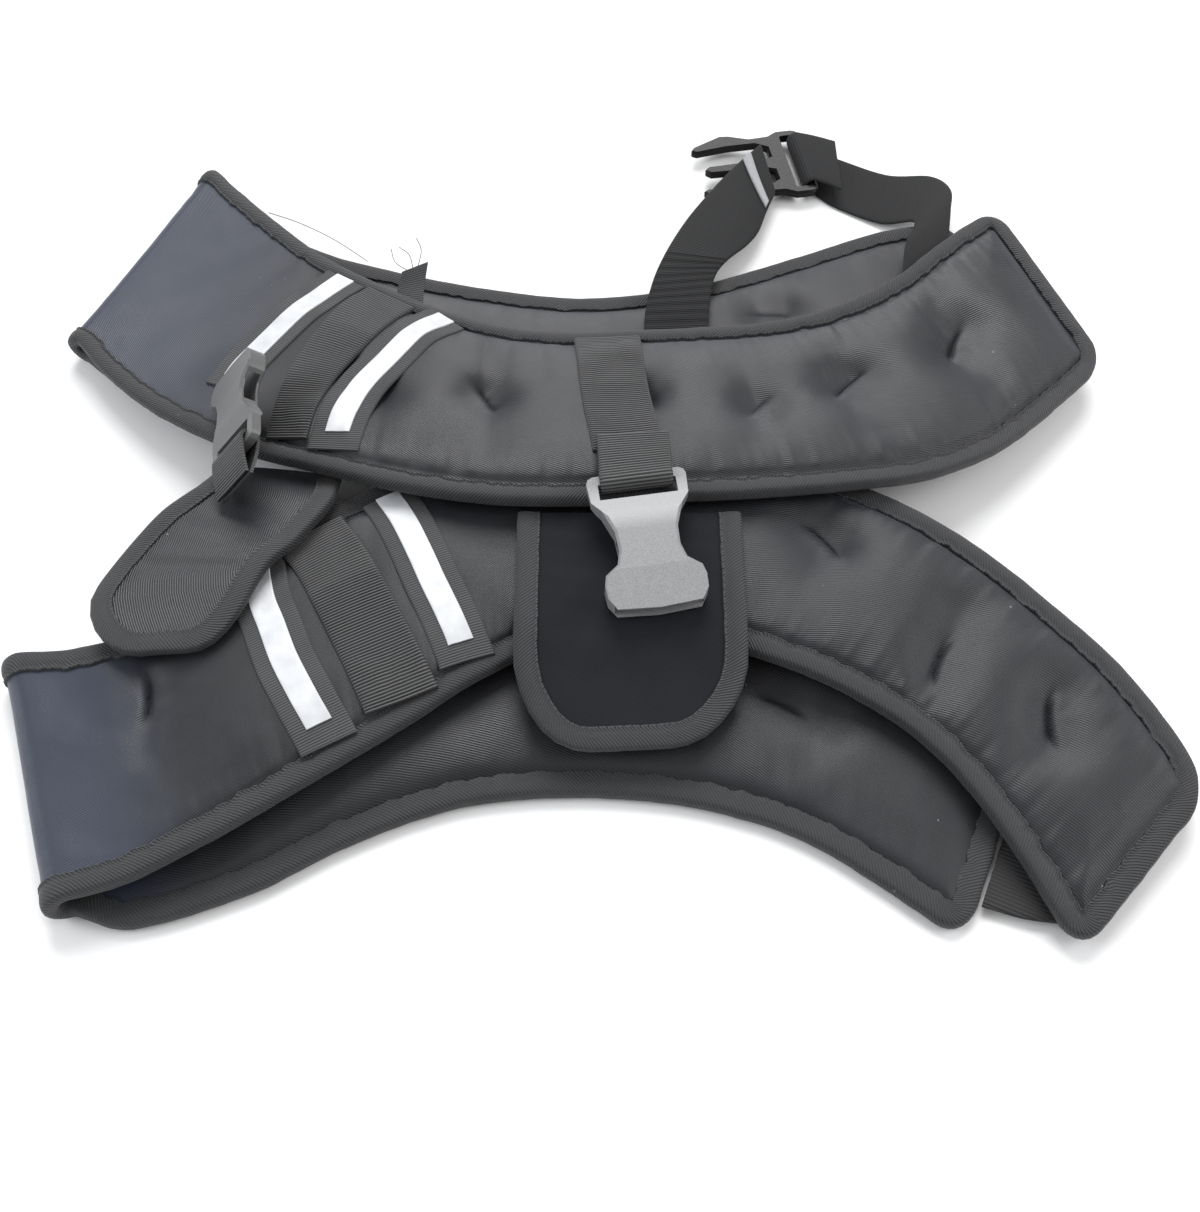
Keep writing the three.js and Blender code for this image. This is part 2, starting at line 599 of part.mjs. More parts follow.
const NEOPRENE = new THREE.MeshStandardMaterial({ color: 0x25262a, roughness: 0.75, metalness: 0 });
const TAPE_CLOTH = new THREE.MeshStandardMaterial({ color: 0x3a3b3e, roughness: 0.85, metalness: 0 });
const WEBBING = new THREE.MeshStandardMaterial({ color: 0x2c2d2f, roughness: 0.8, metalness: 0 });
const ELASTIC = new THREE.MeshStandardMaterial({ color: 0x1b1b1d, roughness: 0.85, metalness: 0 });
const REFLECTIVE = new THREE.MeshStandardMaterial({ color: 0xdfe1e4, roughness: 0.45, metalness: 0 });
const SILVER = new THREE.MeshStandardMaterial({ color: 0x9a9c9e, roughness: 0.5, metalness: 0 });
const GREY_PLASTIC = new THREE.MeshStandardMaterial({ color: 0x6a6b6c, roughness: 0.45, metalness: 0 });
const BLACK_PLASTIC = new THREE.MeshStandardMaterial({ color: 0x161617, roughness: 0.35, metalness: 0 });
const BINDING_CLOTH = new THREE.MeshStandardMaterial({ color: 0x1d1e20, roughness: 0.9, metalness: 0 });

const vest = new THREE.Group();
function add(name, solid, material) {
  const mesh = new THREE.Mesh(geometryFrom(solid), material);
  mesh.name = name;
  vest.add(mesh);
}

const lowerPad = padSolid(lowerStrip);
const upperPad = padSolid(upperStrip);
const lowerGrown = padSolid(lowerStrip, GAP / 3);
const upperGrown = padSolid(upperStrip, GAP / 3);
const lowerBinding = clear(bindingSolid(lowerStrip, BINDING_WALL, BINDING_WIDTH), [lowerGrown]);
const upperBinding = clear(bindingSolid(upperStrip, BINDING_WALL, BINDING_WIDTH), [upperGrown]);
add("lower_pad", lowerPad, NEOPRENE);
add("upper_pad", upperPad, NEOPRENE);
add("lower_binding", lowerBinding, BINDING_CLOTH);
add("upper_binding", upperBinding, BINDING_CLOTH);

// Tapes, reflective strips and webbing sewn on the front layers
const RIBBON_LIFT = 2 * GAP;
const TAPES = {
  upper_tape_outer: [upperStrip, [[10.46, 0.1], [10.66, 0.22], [10.88, 0.34], [11.08, 0.5], [11.26, 0.66], [11.36, 0.8]]],
  upper_tape_inner: [upperStrip, [[8.88, 0.1], [9.15, 0.22], [9.42, 0.4], [9.68, 0.58], [9.8, 0.74], [9.84, 0.9]]],
  lower_tape_outer: [lowerStrip, [[11.0, 0.9], [11.02, 0.75], [10.99, 0.62], [10.95, 0.45], [10.86, 0.27], [10.75, 0.1]]],
  lower_tape_inner: [lowerStrip, [[9.74, 0.9], [9.63, 0.76], [9.53, 0.6], [9.43, 0.44], [9.3, 0.27], [9.17, 0.1]]],
};
for (const [name, [strip, path]] of Object.entries(TAPES)) {
  const grown = strip === upperStrip ? upperGrown : lowerGrown;
  const binding = strip === upperStrip ? upperBinding : lowerBinding;
  const tape = clear(ribbonSolid(strip, path, TAPE_WIDTH, TAPE_THICKNESS, RIBBON_LIFT), [grown, binding]);
  add(name, tape, TAPE_CLOTH);
  const strip2 = ribbonSolid(strip, path.slice(0, -1), REFLECTOR_WIDTH, REFLECTOR_THICKNESS, RIBBON_LIFT + TAPE_THICKNESS + GAP);
  add(name.replace("tape", "reflector"), clear(strip2, [grown, tape, binding]), REFLECTIVE);
}
const WEBBINGS = {
  chest_webbing: [upperStrip, [[6.45, 0.1], [6.46, 0.3], [6.45, 0.5], [6.42, 0.65], [6.4, 0.78]], WEBBING_WIDTH],
  upper_waist_webbing: [
    upperStrip,
    [[9.72, 0.1, 1.1], [9.95, 0.24, 1.1], [10.18, 0.42, 1.02], [10.35, 0.6, 0.92], [10.42, 0.76, 0.82], [10.44, 0.9, 0.75]],
    SMALL_WEBBING_WIDTH,
  ],
  lower_waist_webbing: [lowerStrip, [[10.46, 0.9], [10.34, 0.74], [10.24, 0.57], [10.14, 0.4], [10.04, 0.24], [9.94, 0.1]], WEBBING_WIDTH],
};
for (const [name, [strip, path, width]] of Object.entries(WEBBINGS)) {
  const grown = strip === upperStrip ? upperGrown : lowerGrown;
  const binding = strip === upperStrip ? upperBinding : lowerBinding;
  add(name, clear(ribbonSolid(strip, path, width, WEBBING_THICKNESS, RIBBON_LIFT), [grown, binding]), WEBBING);
}

// Flaps behind the buckles: chest flap and waist flap, each sewn under the upper half's centre edge
const CHEST_FLAP = columns(SECTION, [
  [0.047, -0.0635, -90, 1.0, 2.08, 0, 0],
  [0.047, -0.095, -90, 1.0, 2.1, 0, 0],
  [0.047, -0.13, -90, 1.0, 2.1, 0, 0],
  [0.047, -0.165, -90, 1.0, 2.06, 0.04, 0],
  [0.047, -0.2, -90, 1.0, 1.92, 0.12, 0],
  [0.047, -0.2375, -91, 1.0, 1.62, 0.15, 0],
  [0.047, -0.275, -92, 1.0, 1.32, 0.1, 0],
  [0.046, -0.3175, -93, 1.0, 1.08, 0, 0],
]);
const WAIST_FLAP = columns(SECTION, [
  [-0.27, 0.02, -76, 0.8, 1.05, -0.7, 0],
  [-0.278, -0.025, -77, 0.88, 1.62, -0.55, 0],
  [-0.3, -0.062, -77, 0.98, 1.74, -0.75, 0],
  [-0.318, -0.097, -84, 1.04, 1.76, -0.95, 0],
  [-0.334, -0.128, -90, 1.02, 1.79, -0.9, 0],
  [-0.342, -0.158, -92, 1.0, 1.86, -0.7, 0],
  [-0.343, -0.19, -93, 0.98, 1.88, -0.5, 0],
  [-0.342, -0.224, -92, 0.95, 1.8, -0.25, 0],
]);
const flap = (rows, width, corner) => new Strip({
  front: rows,
  toward: 1,
  width,
  corners: { start: null, end: corner },
  thickness: FLAP_THICKNESS,
  edge: FLAP_THICKNESS,
});
const chestFlap = flap(CHEST_FLAP, FLAP_WIDTH, { along: 42, across: 30 });
const waistFlap = flap(WAIST_FLAP, SMALL_FLAP_WIDTH, { along: 34, across: 22 });
for (const [name, strip] of [["chest", chestFlap], ["waist", waistFlap]]) {
  const shares = [0, 0.25, 0.5, 0.75, 1];
  add(`${name}_flap`, clothSolid(strip, shares), NEOPRENE);
  const binding = bindingSolid(strip, FLAP_BINDING_WALL, BINDING_WIDTH, true);
  add(`${name}_flap_binding`, clear(binding, [clothSolid(strip, shares, GAP / 3)]), BINDING_CLOTH);
}

// Buckle housings: the chest one lies on its flap, the waist one is turned back up and leans on its side
const CHEST_BAR = [0.052, -0.045, 45.1];
const CHEST_FRONT = [0.156, -0.975, -0.15];
const WAIST_BAR = [-0.301, -0.0025, 40.3];
const WAIST_FRONT = [-0.1, 0.99, 0.04];
const WAIST_RIGHT = [0.62, 0.02, 0.78];
const LATCH_BAR = [0.2468, 0.561, 5.15];
const LATCH_FRONT = [-0.985, -0.174, 0.01];
const chestBuckle = placed(housing(WEBBING_WIDTH, BUCKLE_LENGTH, BUCKLE_THICKNESS), CHEST_BAR, CHEST_FRONT, [-1, -0.15, 0]);
add("chest_buckle", chestBuckle, GREY_PLASTIC);
const smallHousing = housing(SMALL_WEBBING_WIDTH, SMALL_BUCKLE_LENGTH, SMALL_BUCKLE_THICKNESS);
add("waist_buckle", placed(smallHousing, WAIST_BAR, WAIST_FRONT, WAIST_RIGHT), GREY_PLASTIC);
add("waist_loop", placed(loopSolid(SMALL_WEBBING_WIDTH, 17), WAIST_BAR, WAIST_FRONT, WAIST_RIGHT), WEBBING);
add("latch_buckle", placed(latch(ADJUSTER_WIDTH, LATCH_LENGTH, LATCH_THICKNESS), LATCH_BAR, LATCH_FRONT, [-0.174, 0.985, 0]), BLACK_PLASTIC);

// Webbing that runs free of the pads
const strap = (front, back, width) => new Strip({
  front,
  back,
  toward: 1,
  width,
  corners: { start: null, end: null },
  thickness: WEBBING_THICKNESS,
  edge: WEBBING_THICKNESS,
});
const CHEST_LOOP = [
  columns(SECTION, [
    [0.05, 0.012, -94, 1.0, 3.32, 0, 0],
    [0.0512, -0.02, -97, 1.0, 3.46, 0, 0],
    [0.052, -0.045, -99, 1.0, 3.5, 0, 0],
  ]),
  columns(SECTION, [
    [0.052, -0.045, -99, 1.0, 2.89, 0, 0],
    [0.0512, -0.026, -97, 1.0, 2.96, 0, 0],
    [0.05, 0.012, -94, 1.0, 3.16, 0, 0],
  ]),
];
const BACK_STRAP = [
  columns(SECTION, [
    [0.282, 0.545, 0, 1.0, 0.38, 0, 0],
    [0.263, 0.5545, -6, 1.0, 0.43, 0, 0],
    [0.2468, 0.561, -10, 1.0, 0.45, 0, 0],
  ]),
  columns(SECTION, [
    [0.2468, 0.561, -10, 1.0, -0.21, 0, 0],
    [0.282, 0.533, 6, 1.0, -0.21, 0, 0],
    [0.33, 0.499, 12, 0.98, -0.1, 0, 0],
    [0.367, 0.482, 22, 0.96, 0.36, 0, 0],
    [0.373, 0.447, 38, 0.92, 0.8, 0.1, 0],
    [0.362, 0.4, 46, 0.92, 1.2, 0, 0],
    [0.353, 0.345, 46, 0.92, 1.28, 0, 0],
  ]),
];
const TAIL_STRAP = columns(SECTION, [
  [0.205, 0.54, -8, 1.0, 0.38, 0, 0],
  [0.183, 0.497, -22, 1.0, 0.4, 0, 0],
  [0.162, 0.452, -42, 0.96, 0.41, 0, 0],
  [0.142, 0.413, -62, 0.9, 0.44, 0, 0],
  [0.12, 0.368, -82, 0.8, 0.54, 0, 0],
  [0.106, 0.32, -96, 0.79, 0.8, 0, 0],
  [0.098, 0.26, -93, 0.79, 1.06, 0, 0],
  [0.096, 0.2, -92, 0.79, 1.1, 0, 0],
]);
add("chest_loop", clothSolid(strap(...CHEST_LOOP, WEBBING_WIDTH), [0, 1]), WEBBING);
add("back_strap", clothSolid(strap(...BACK_STRAP, ADJUSTER_WIDTH), [0, 1]), WEBBING);
const tailStrap = strap(TAIL_STRAP, null, ADJUSTER_WIDTH);
tailStrap.perRow = 3;
add("tail_strap", clothSolid(tailStrap), WEBBING);
add("keeper", ribbonSolid(tailStrap, [[0.75, 0.04], [0.66, 0.5], [0.56, 0.96]], KEEPER_WIDTH, 1, 2 * GAP), SILVER);

// Elastic bands at the shoulder end, a small end of cloth tape and the panel between the two back layers
const sheet = (rows, width, thickness) => new Strip({
  front: columns(SECTION, rows),
  toward: 1,
  width,
  corners: { start: null, end: null },
  thickness,
  edge: thickness,
});
add("lower_side_band", clothSolid(sheet([
  [0.348, -0.389, 204, 1.0, 0, 0, 0],
  [0.383, -0.408, 210, 0.95, 0, 0, 0],
  [0.416, -0.428, 220, 0.84, 0, 0, 0],
], BAND_WIDTH, BAND_THICKNESS)), ELASTIC);
add("upper_side_band", clothSolid(sheet([
  [0.4165, 0.3175, 172, 1.0, 0, 0, 0],
  [0.438, 0.313, 168, 1.0, 0.15, 0, 0],
  [0.46, 0.308, 162, 1.0, 0.4, 0, 0],
], BAND_WIDTH, BAND_THICKNESS)), ELASTIC);
add("tape_end", clothSolid(sheet([
  [-0.17, 0.262, 85, 1.0, 0.96, 0, 0],
  [-0.168, 0.293, 80, 1.0, 1.3, 0.1, 0],
  [-0.164, 0.313, 72, 1.0, 1.72, 0.2, 0],
], TAB_WIDTH, 1)), TAPE_CLOTH);
const yokeRows = [19, 19.5, 20, 20.5, 21].map((at) => {
  const near = lowerStrip.point(at, 1).add(new THREE.Vector3(0, 2.6, 0));
  const far = upperStrip.point(at, 1).add(new THREE.Vector3(0, -2.6, 0));
  return [near, far.clone().lerp(near, 0.5), far];
});
const lifted = (h) => yokeRows.map((row) => row.map((p) => p.clone().add(new THREE.Vector3(0, 0, h))));
add("back_panel", slab(lifted(FLAP_THICKNESS / 2), lifted(-FLAP_THICKNESS / 2)), NEOPRENE);

// The origin is the centre of the footprint
const box = new THREE.Box3().setFromObject(vest);
vest.position.set(-(box.min.x + box.max.x) / 2, -(box.min.y + box.max.y) / 2, -box.min.z);

export default vest;
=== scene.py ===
# Dresses the folded training vest: padded neoprene halves with bound edges, tapes with reflective
# strips, ribbed webbing, flaps and side-release buckles, on a plain pale floor.
# Tables and functions are in millimetres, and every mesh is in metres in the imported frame.
import math

import bmesh
import bpy
import numpy as np
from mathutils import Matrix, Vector


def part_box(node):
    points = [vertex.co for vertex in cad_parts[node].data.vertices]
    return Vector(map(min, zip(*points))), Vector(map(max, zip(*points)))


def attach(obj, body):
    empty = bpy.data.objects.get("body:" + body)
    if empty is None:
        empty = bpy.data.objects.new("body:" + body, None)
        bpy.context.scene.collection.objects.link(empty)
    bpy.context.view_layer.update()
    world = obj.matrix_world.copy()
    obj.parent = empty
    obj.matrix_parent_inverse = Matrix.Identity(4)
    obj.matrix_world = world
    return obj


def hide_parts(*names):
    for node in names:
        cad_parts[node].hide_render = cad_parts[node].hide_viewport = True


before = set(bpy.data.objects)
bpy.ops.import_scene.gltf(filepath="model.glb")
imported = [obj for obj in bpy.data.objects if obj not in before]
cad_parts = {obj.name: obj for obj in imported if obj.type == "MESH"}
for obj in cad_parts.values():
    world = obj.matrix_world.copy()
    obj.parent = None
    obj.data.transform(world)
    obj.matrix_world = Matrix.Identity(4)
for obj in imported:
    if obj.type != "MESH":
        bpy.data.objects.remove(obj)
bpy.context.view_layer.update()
scene = bpy.context.scene
MM = 0.001

# Sizes of the vest
VEST_SPAN = 470
VEST_REACH = 400
PAD_WIDTH = 100
PAD_THICKNESS = 13
EDGE_THICKNESS = 3.6
PAD_CORNER = 13
SHOULDER_RISE = 26
BINDING_WIDTH = 8
BINDING_WALL = 1.2
GAP = 0.3
WEBBING_WIDTH = 30
SMALL_WEBBING_WIDTH = 25
WEBBING_THICKNESS = 1.6
ADJUSTER_WIDTH = 38
TAPE_WIDTH = 23
TAPE_THICKNESS = 1
REFLECTOR_WIDTH = 10.5
REFLECTOR_THICKNESS = 0.5
FLAP_WIDTH = 90
SMALL_FLAP_WIDTH = 66
FLAP_THICKNESS = 2.6
BAND_WIDTH = 66
BAND_THICKNESS = 1.8
KEEPER_WIDTH = 6
TAB_WIDTH = 13
BAR_THICKNESS = 4
REST = EDGE_THICKNESS / 2 + 2 * GAP + BINDING_WALL
LOOP_RADIUS = 0.71 * BAR_THICKNESS + GAP + WEBBING_THICKNESS / 2
RIBBON_LIFT = 2 * GAP
WEBBING_RIB = 1.35  # the pitch of its cross ribs
TAPE_RIB = 1.1
STRAP_RIB = 1.1
RIB_STEPS = 6  # rows of points on each rib
SUNK = 0.35  # added to the underside of each ribbon, so that no gap shows under it
TUFT_PULL = 0.82  # share of a dent's depth that the pad takes
FRONT_SHARE, BACK_SHARE = 0.62, 0.25  # of the filling, on the outer side of each layer
CLOTH_SHARP = math.radians(62)  # cloth that bends more is shaded as an edge

# Sections of each strip: x and y in shares of the span and reach, turn in degrees, wide in shares of the
# strip's width, lift and tilt in shares of the pad's thickness, fill the share of its full thickness
X, Y, TURN, WIDE, LIFT, TILT, FILL = range(7)
USUAL = (0, 0, 0, 1, 0, 0, 0)


def table(*rows):
    """Sections, with the usual value wherever a short row leaves one out."""
    return np.array([[*row, *USUAL[len(row):]] for row in rows], float)


LOWER_FRONT = table(
    (0.448, -0.434, 43, 0.84, 0.42, 0.3, 0.8), (0.427, -0.372, 44, 0.85, 0.6, 0.25, 1),
    (0.392, -0.298, 45, 0.84, 0.85, 0.1, 1), (0.348, -0.235, 44, 0.83, 1.08, 0, 0.95),
    (0.295, -0.177, 39, 0.88, 1.2, 0, 1), (0.235, -0.13, 33, 0.93, 1.25, 0, 1),
    (0.163, -0.094, 24, 0.95, 1.25, 0, 1), (0.08, -0.077, 13, 0.95, 1.25, 0, 1),
    (-0.006, -0.08, 4, 0.97, 1.25, 0, 1), (-0.088, -0.108, -5, 1.05, 1.25, 0, 1),
    (-0.169, -0.16, -13, 1.12, 1.25, 0, 1), (-0.246, -0.226, -18, 1.08, 1.25, -0.08, 0.95),
    (-0.316, -0.295, -20, 0.98, 1.15, -0.15, 0.55), (-0.382, -0.33, -20, 1.04, 1, -0.2, 0.05),
    (-0.43, -0.34, -21, 1.1, 0.95, -0.25),
)
LOWER_BACK = table(
    (-0.43, -0.34, -21, 1.1), (-0.378, -0.352, -19, 1.09, 0, 0, 0.1),
    (-0.287, -0.328, -18, 1, 0, 0, 0.8), (-0.202, -0.284, -12, 0.94, 0, 0, 0.95),
    (-0.106, -0.244, -6, 0.93, 0, 0, 0.95), (-0.004, -0.229, 0, 0.95, 0, 0, 0.95),
    (0.102, -0.238, 4, 0.96, 0, 0, 0.95), (0.197, -0.273, 10, 0.95, 0, 0, 0.9),
    (0.274, -0.329, 16, 0.94, 0, 0, 0.8), (0.342, -0.386, 24, 0.94, 0, 0, 0.55),
)
UPPER_FRONT = table(
    (0.471, 0.305, 22, 1, 1, -0.5, 0.8), (0.414, 0.239, 22, 1.03, 1.24, -0.5, 1),
    (0.351, 0.168, 21, 1.03, 1.43, -0.2, 1), (0.283, 0.121, 19, 1.03, 1.62, 0.23, 1),
    (0.213, 0.098, 16, 1.03, 1.8, 0.69, 1), (0.14, 0.086, 11, 1.04, 1.92, 0.92, 1),
    (0.069, 0.079, 7, 1.05, 2, 1.08, 1), (-0.002, 0.075, 3, 1.05, 2, 1.08, 1),
    (-0.073, 0.081, 0, 1.08, 2, 1.08, 1), (-0.148, 0.106, -3, 1.12, 1.92, 0.92, 1),
    (-0.218, 0.145, -6, 1.17, 1.72, 0.69, 0.95), (-0.288, 0.192, -9, 1.24, 1.42, 0.38, 0.45),
    (-0.36, 0.259, -14, 1.29, 1.14, 0, 0.1), (-0.41, 0.318, -19, 1.27, 0.95, -0.12, 0.03),
    (-0.441, 0.363, -23, 1.22, 0.86, -0.15),
)
UPPER_BACK = table(
    (-0.441, 0.363, -23, 1.22), (-0.4, 0.318, -21, 1.19, 0, 0, 0.1),
    (-0.314, 0.254, -17, 1.16, 0, 0, 0.7), (-0.216, 0.217, -13, 1.12, 0, 0, 0.9),
    (-0.103, 0.193, -7, 1.05, 0, 0, 0.95), (0.005, 0.184, -3, 1, 0, 0, 0.95),
    (0.12, 0.2, 0, 1.04, 0, 0, 0.95), (0.231, 0.245, 2, 1.07, 0, 0, 0.9),
    (0.33, 0.293, 5, 1.06, 0, 0, 0.7), (0.41, 0.318, 8, 1, 0, 0, 0.5),
)
CHEST_FLAP = table(
    (0.047, -0.0635, -90, 1, 2.08), (0.047, -0.095, -90, 1, 2.1), (0.047, -0.13, -90, 1, 2.1),
    (0.047, -0.165, -90, 1, 2.06, 0.04), (0.047, -0.2, -90, 1, 1.92, 0.12),
    (0.047, -0.2375, -91, 1, 1.62, 0.15), (0.047, -0.275, -92, 1, 1.32, 0.1),
    (0.046, -0.3175, -93, 1, 1.08),
)
WAIST_FLAP = table(
    (-0.27, 0.02, -76, 0.8, 1.05, -0.7), (-0.278, -0.025, -77, 0.88, 1.62, -0.55),
    (-0.3, -0.062, -77, 0.98, 1.74, -0.75), (-0.318, -0.097, -84, 1.04, 1.76, -0.95),
    (-0.334, -0.128, -90, 1.02, 1.79, -0.9), (-0.342, -0.158, -92, 1, 1.86, -0.7),
    (-0.343, -0.19, -93, 0.98, 1.88, -0.5), (-0.342, -0.224, -92, 0.95, 1.8, -0.25),
)
CHEST_LOOP_OVER = table(
    (0.05, 0.012, -94, 1, 3.32), (0.0512, -0.02, -97, 1, 3.46), (0.052, -0.045, -99, 1, 3.5),
)
CHEST_LOOP_UNDER = table(
    (0.052, -0.045, -99, 1, 2.89), (0.0512, -0.026, -97, 1, 2.96), (0.05, 0.012, -94, 1, 3.16),
)
BACK_STRAP_OVER = table(
    (0.282, 0.545, 0, 1, 0.38), (0.263, 0.5545, -6, 1, 0.43), (0.2468, 0.561, -10, 1, 0.45),
)
BACK_STRAP_UNDER = table(
    (0.2468, 0.561, -10, 1, -0.21), (0.282, 0.533, 6, 1, -0.21), (0.33, 0.499, 12, 0.98, -0.1),
    (0.367, 0.482, 22, 0.96, 0.36), (0.373, 0.447, 38, 0.92, 0.8, 0.1), (0.362, 0.4, 46, 0.92, 1.2),
    (0.353, 0.345, 46, 0.92, 1.28),
)
TAIL_STRAP = table(
    (0.205, 0.54, -8, 1, 0.38), (0.183, 0.497, -22, 1, 0.4), (0.162, 0.452, -42, 0.96, 0.41),
    (0.142, 0.413, -62, 0.9, 0.44), (0.12, 0.368, -82, 0.8, 0.54), (0.106, 0.32, -96, 0.79, 0.8),
    (0.098, 0.26, -93, 0.79, 1.06), (0.096, 0.2, -92, 0.79, 1.1),
)
LOWER_SIDE_BAND = table(
    (0.348, -0.389, 204), (0.383, -0.408, 210, 0.95), (0.416, -0.428, 220, 0.84),
)
UPPER_SIDE_BAND = table(
    (0.4165, 0.3175, 172), (0.438, 0.313, 168, 1, 0.15), (0.46, 0.308, 162, 1, 0.4),
)
TAPE_END = table(
    (-0.17, 0.262, 85, 1, 0.96), (-0.168, 0.293, 80, 1, 1.3, 0.1), (-0.164, 0.313, 72, 1, 1.72, 0.2),
)

# Where the filling is sewn down: section and share of the width at both ends, then the share of the
# thickness that goes and how far the hollow reaches in shares of the pad's width
UPPER_DENTS = [
    (1.6, 0.42, 1.9, 0.5, 0.85, 0.13),
    (3.2, 0.42, 3.5, 0.48, 0.8, 0.13),
    (4.6, 0.52, 4.7, 0.55, 0.6, 0.12),
    (6.3, 0.38, 6.1, 0.45, 0.85, 0.1),
    (8.2, 0.45, 8.1, 0.5, 0.75, 0.1),
    (9.9, 0.52, 9.4, 0.6, 0.6, 0.1),
    (21.6, 0.3, 21.8, 0.34, 0.6, 0.12),
]
LOWER_DENTS = [
    (1.9, 0.45, 2.3, 0.62, 0.8, 0.12),
    (3.7, 0.62, 3.3, 0.1, 0.7, 0.11),
    (5.3, 0.62, 5.6, 0.68, 0.8, 0.13),
    (12.2, 0.95, 12.5, 0.45, 0.7, 0.07),
    (21.4, 0.55, 22.1, 0.5, 0.7, 0.12),
]


def between(rows, at):
    """Rows of a table read at fractional places: the Catmull-Rom curve through the four nearest rows,
    with a row beyond each end put where the last two rows point."""
    last = len(rows) - 1
    i = np.clip(np.floor(at).astype(int), 0, last - 1)
    t = (at - i)[..., None]
    p1, p2 = rows[i], rows[i + 1]
    p0 = np.where((i > 0)[..., None], rows[np.maximum(i - 1, 0)], 2 * p1 - p2)
    p3 = np.where((i + 2 <= last)[..., None], rows[np.minimum(i + 2, last)], 2 * p2 - p1)
    return p1 + 0.5 * t * (p2 - p0 + t * (2 * p0 - 5 * p1 + 4 * p2 - p3 + t * (3 * (p1 - p2) + p3 - p0)))


def unit(v):
    return v / np.maximum(np.linalg.norm(v, axis=-1, keepdims=True), 1e-12)


def runs(points):
    """Distance along a line of points, from its first point."""
    return np.concatenate([[0], np.cumsum(np.linalg.norm(np.diff(points, axis=0), axis=1))])


def wander(x, wavelength, seed):
    """Smooth noise along x, about -1 to 1: five sines of 0.6 to 2.2 wavelengths, phases drawn from seed."""
    draw = np.random.default_rng(seed)
    total = sum(np.sin(2 * np.pi * (x / (wavelength * (0.6 + 0.4 * k)) + draw.random())) for k in range(5))
    return total / 3


def bell(x):
    return np.exp(-x * x)


def grid_of(rows, columns):
    return np.meshgrid(rows, columns, indexing="ij")


def paired(at, across):
    """Both as arrays of one shape."""
    return np.broadcast_arrays(np.asarray(at, float), np.asarray(across, float))


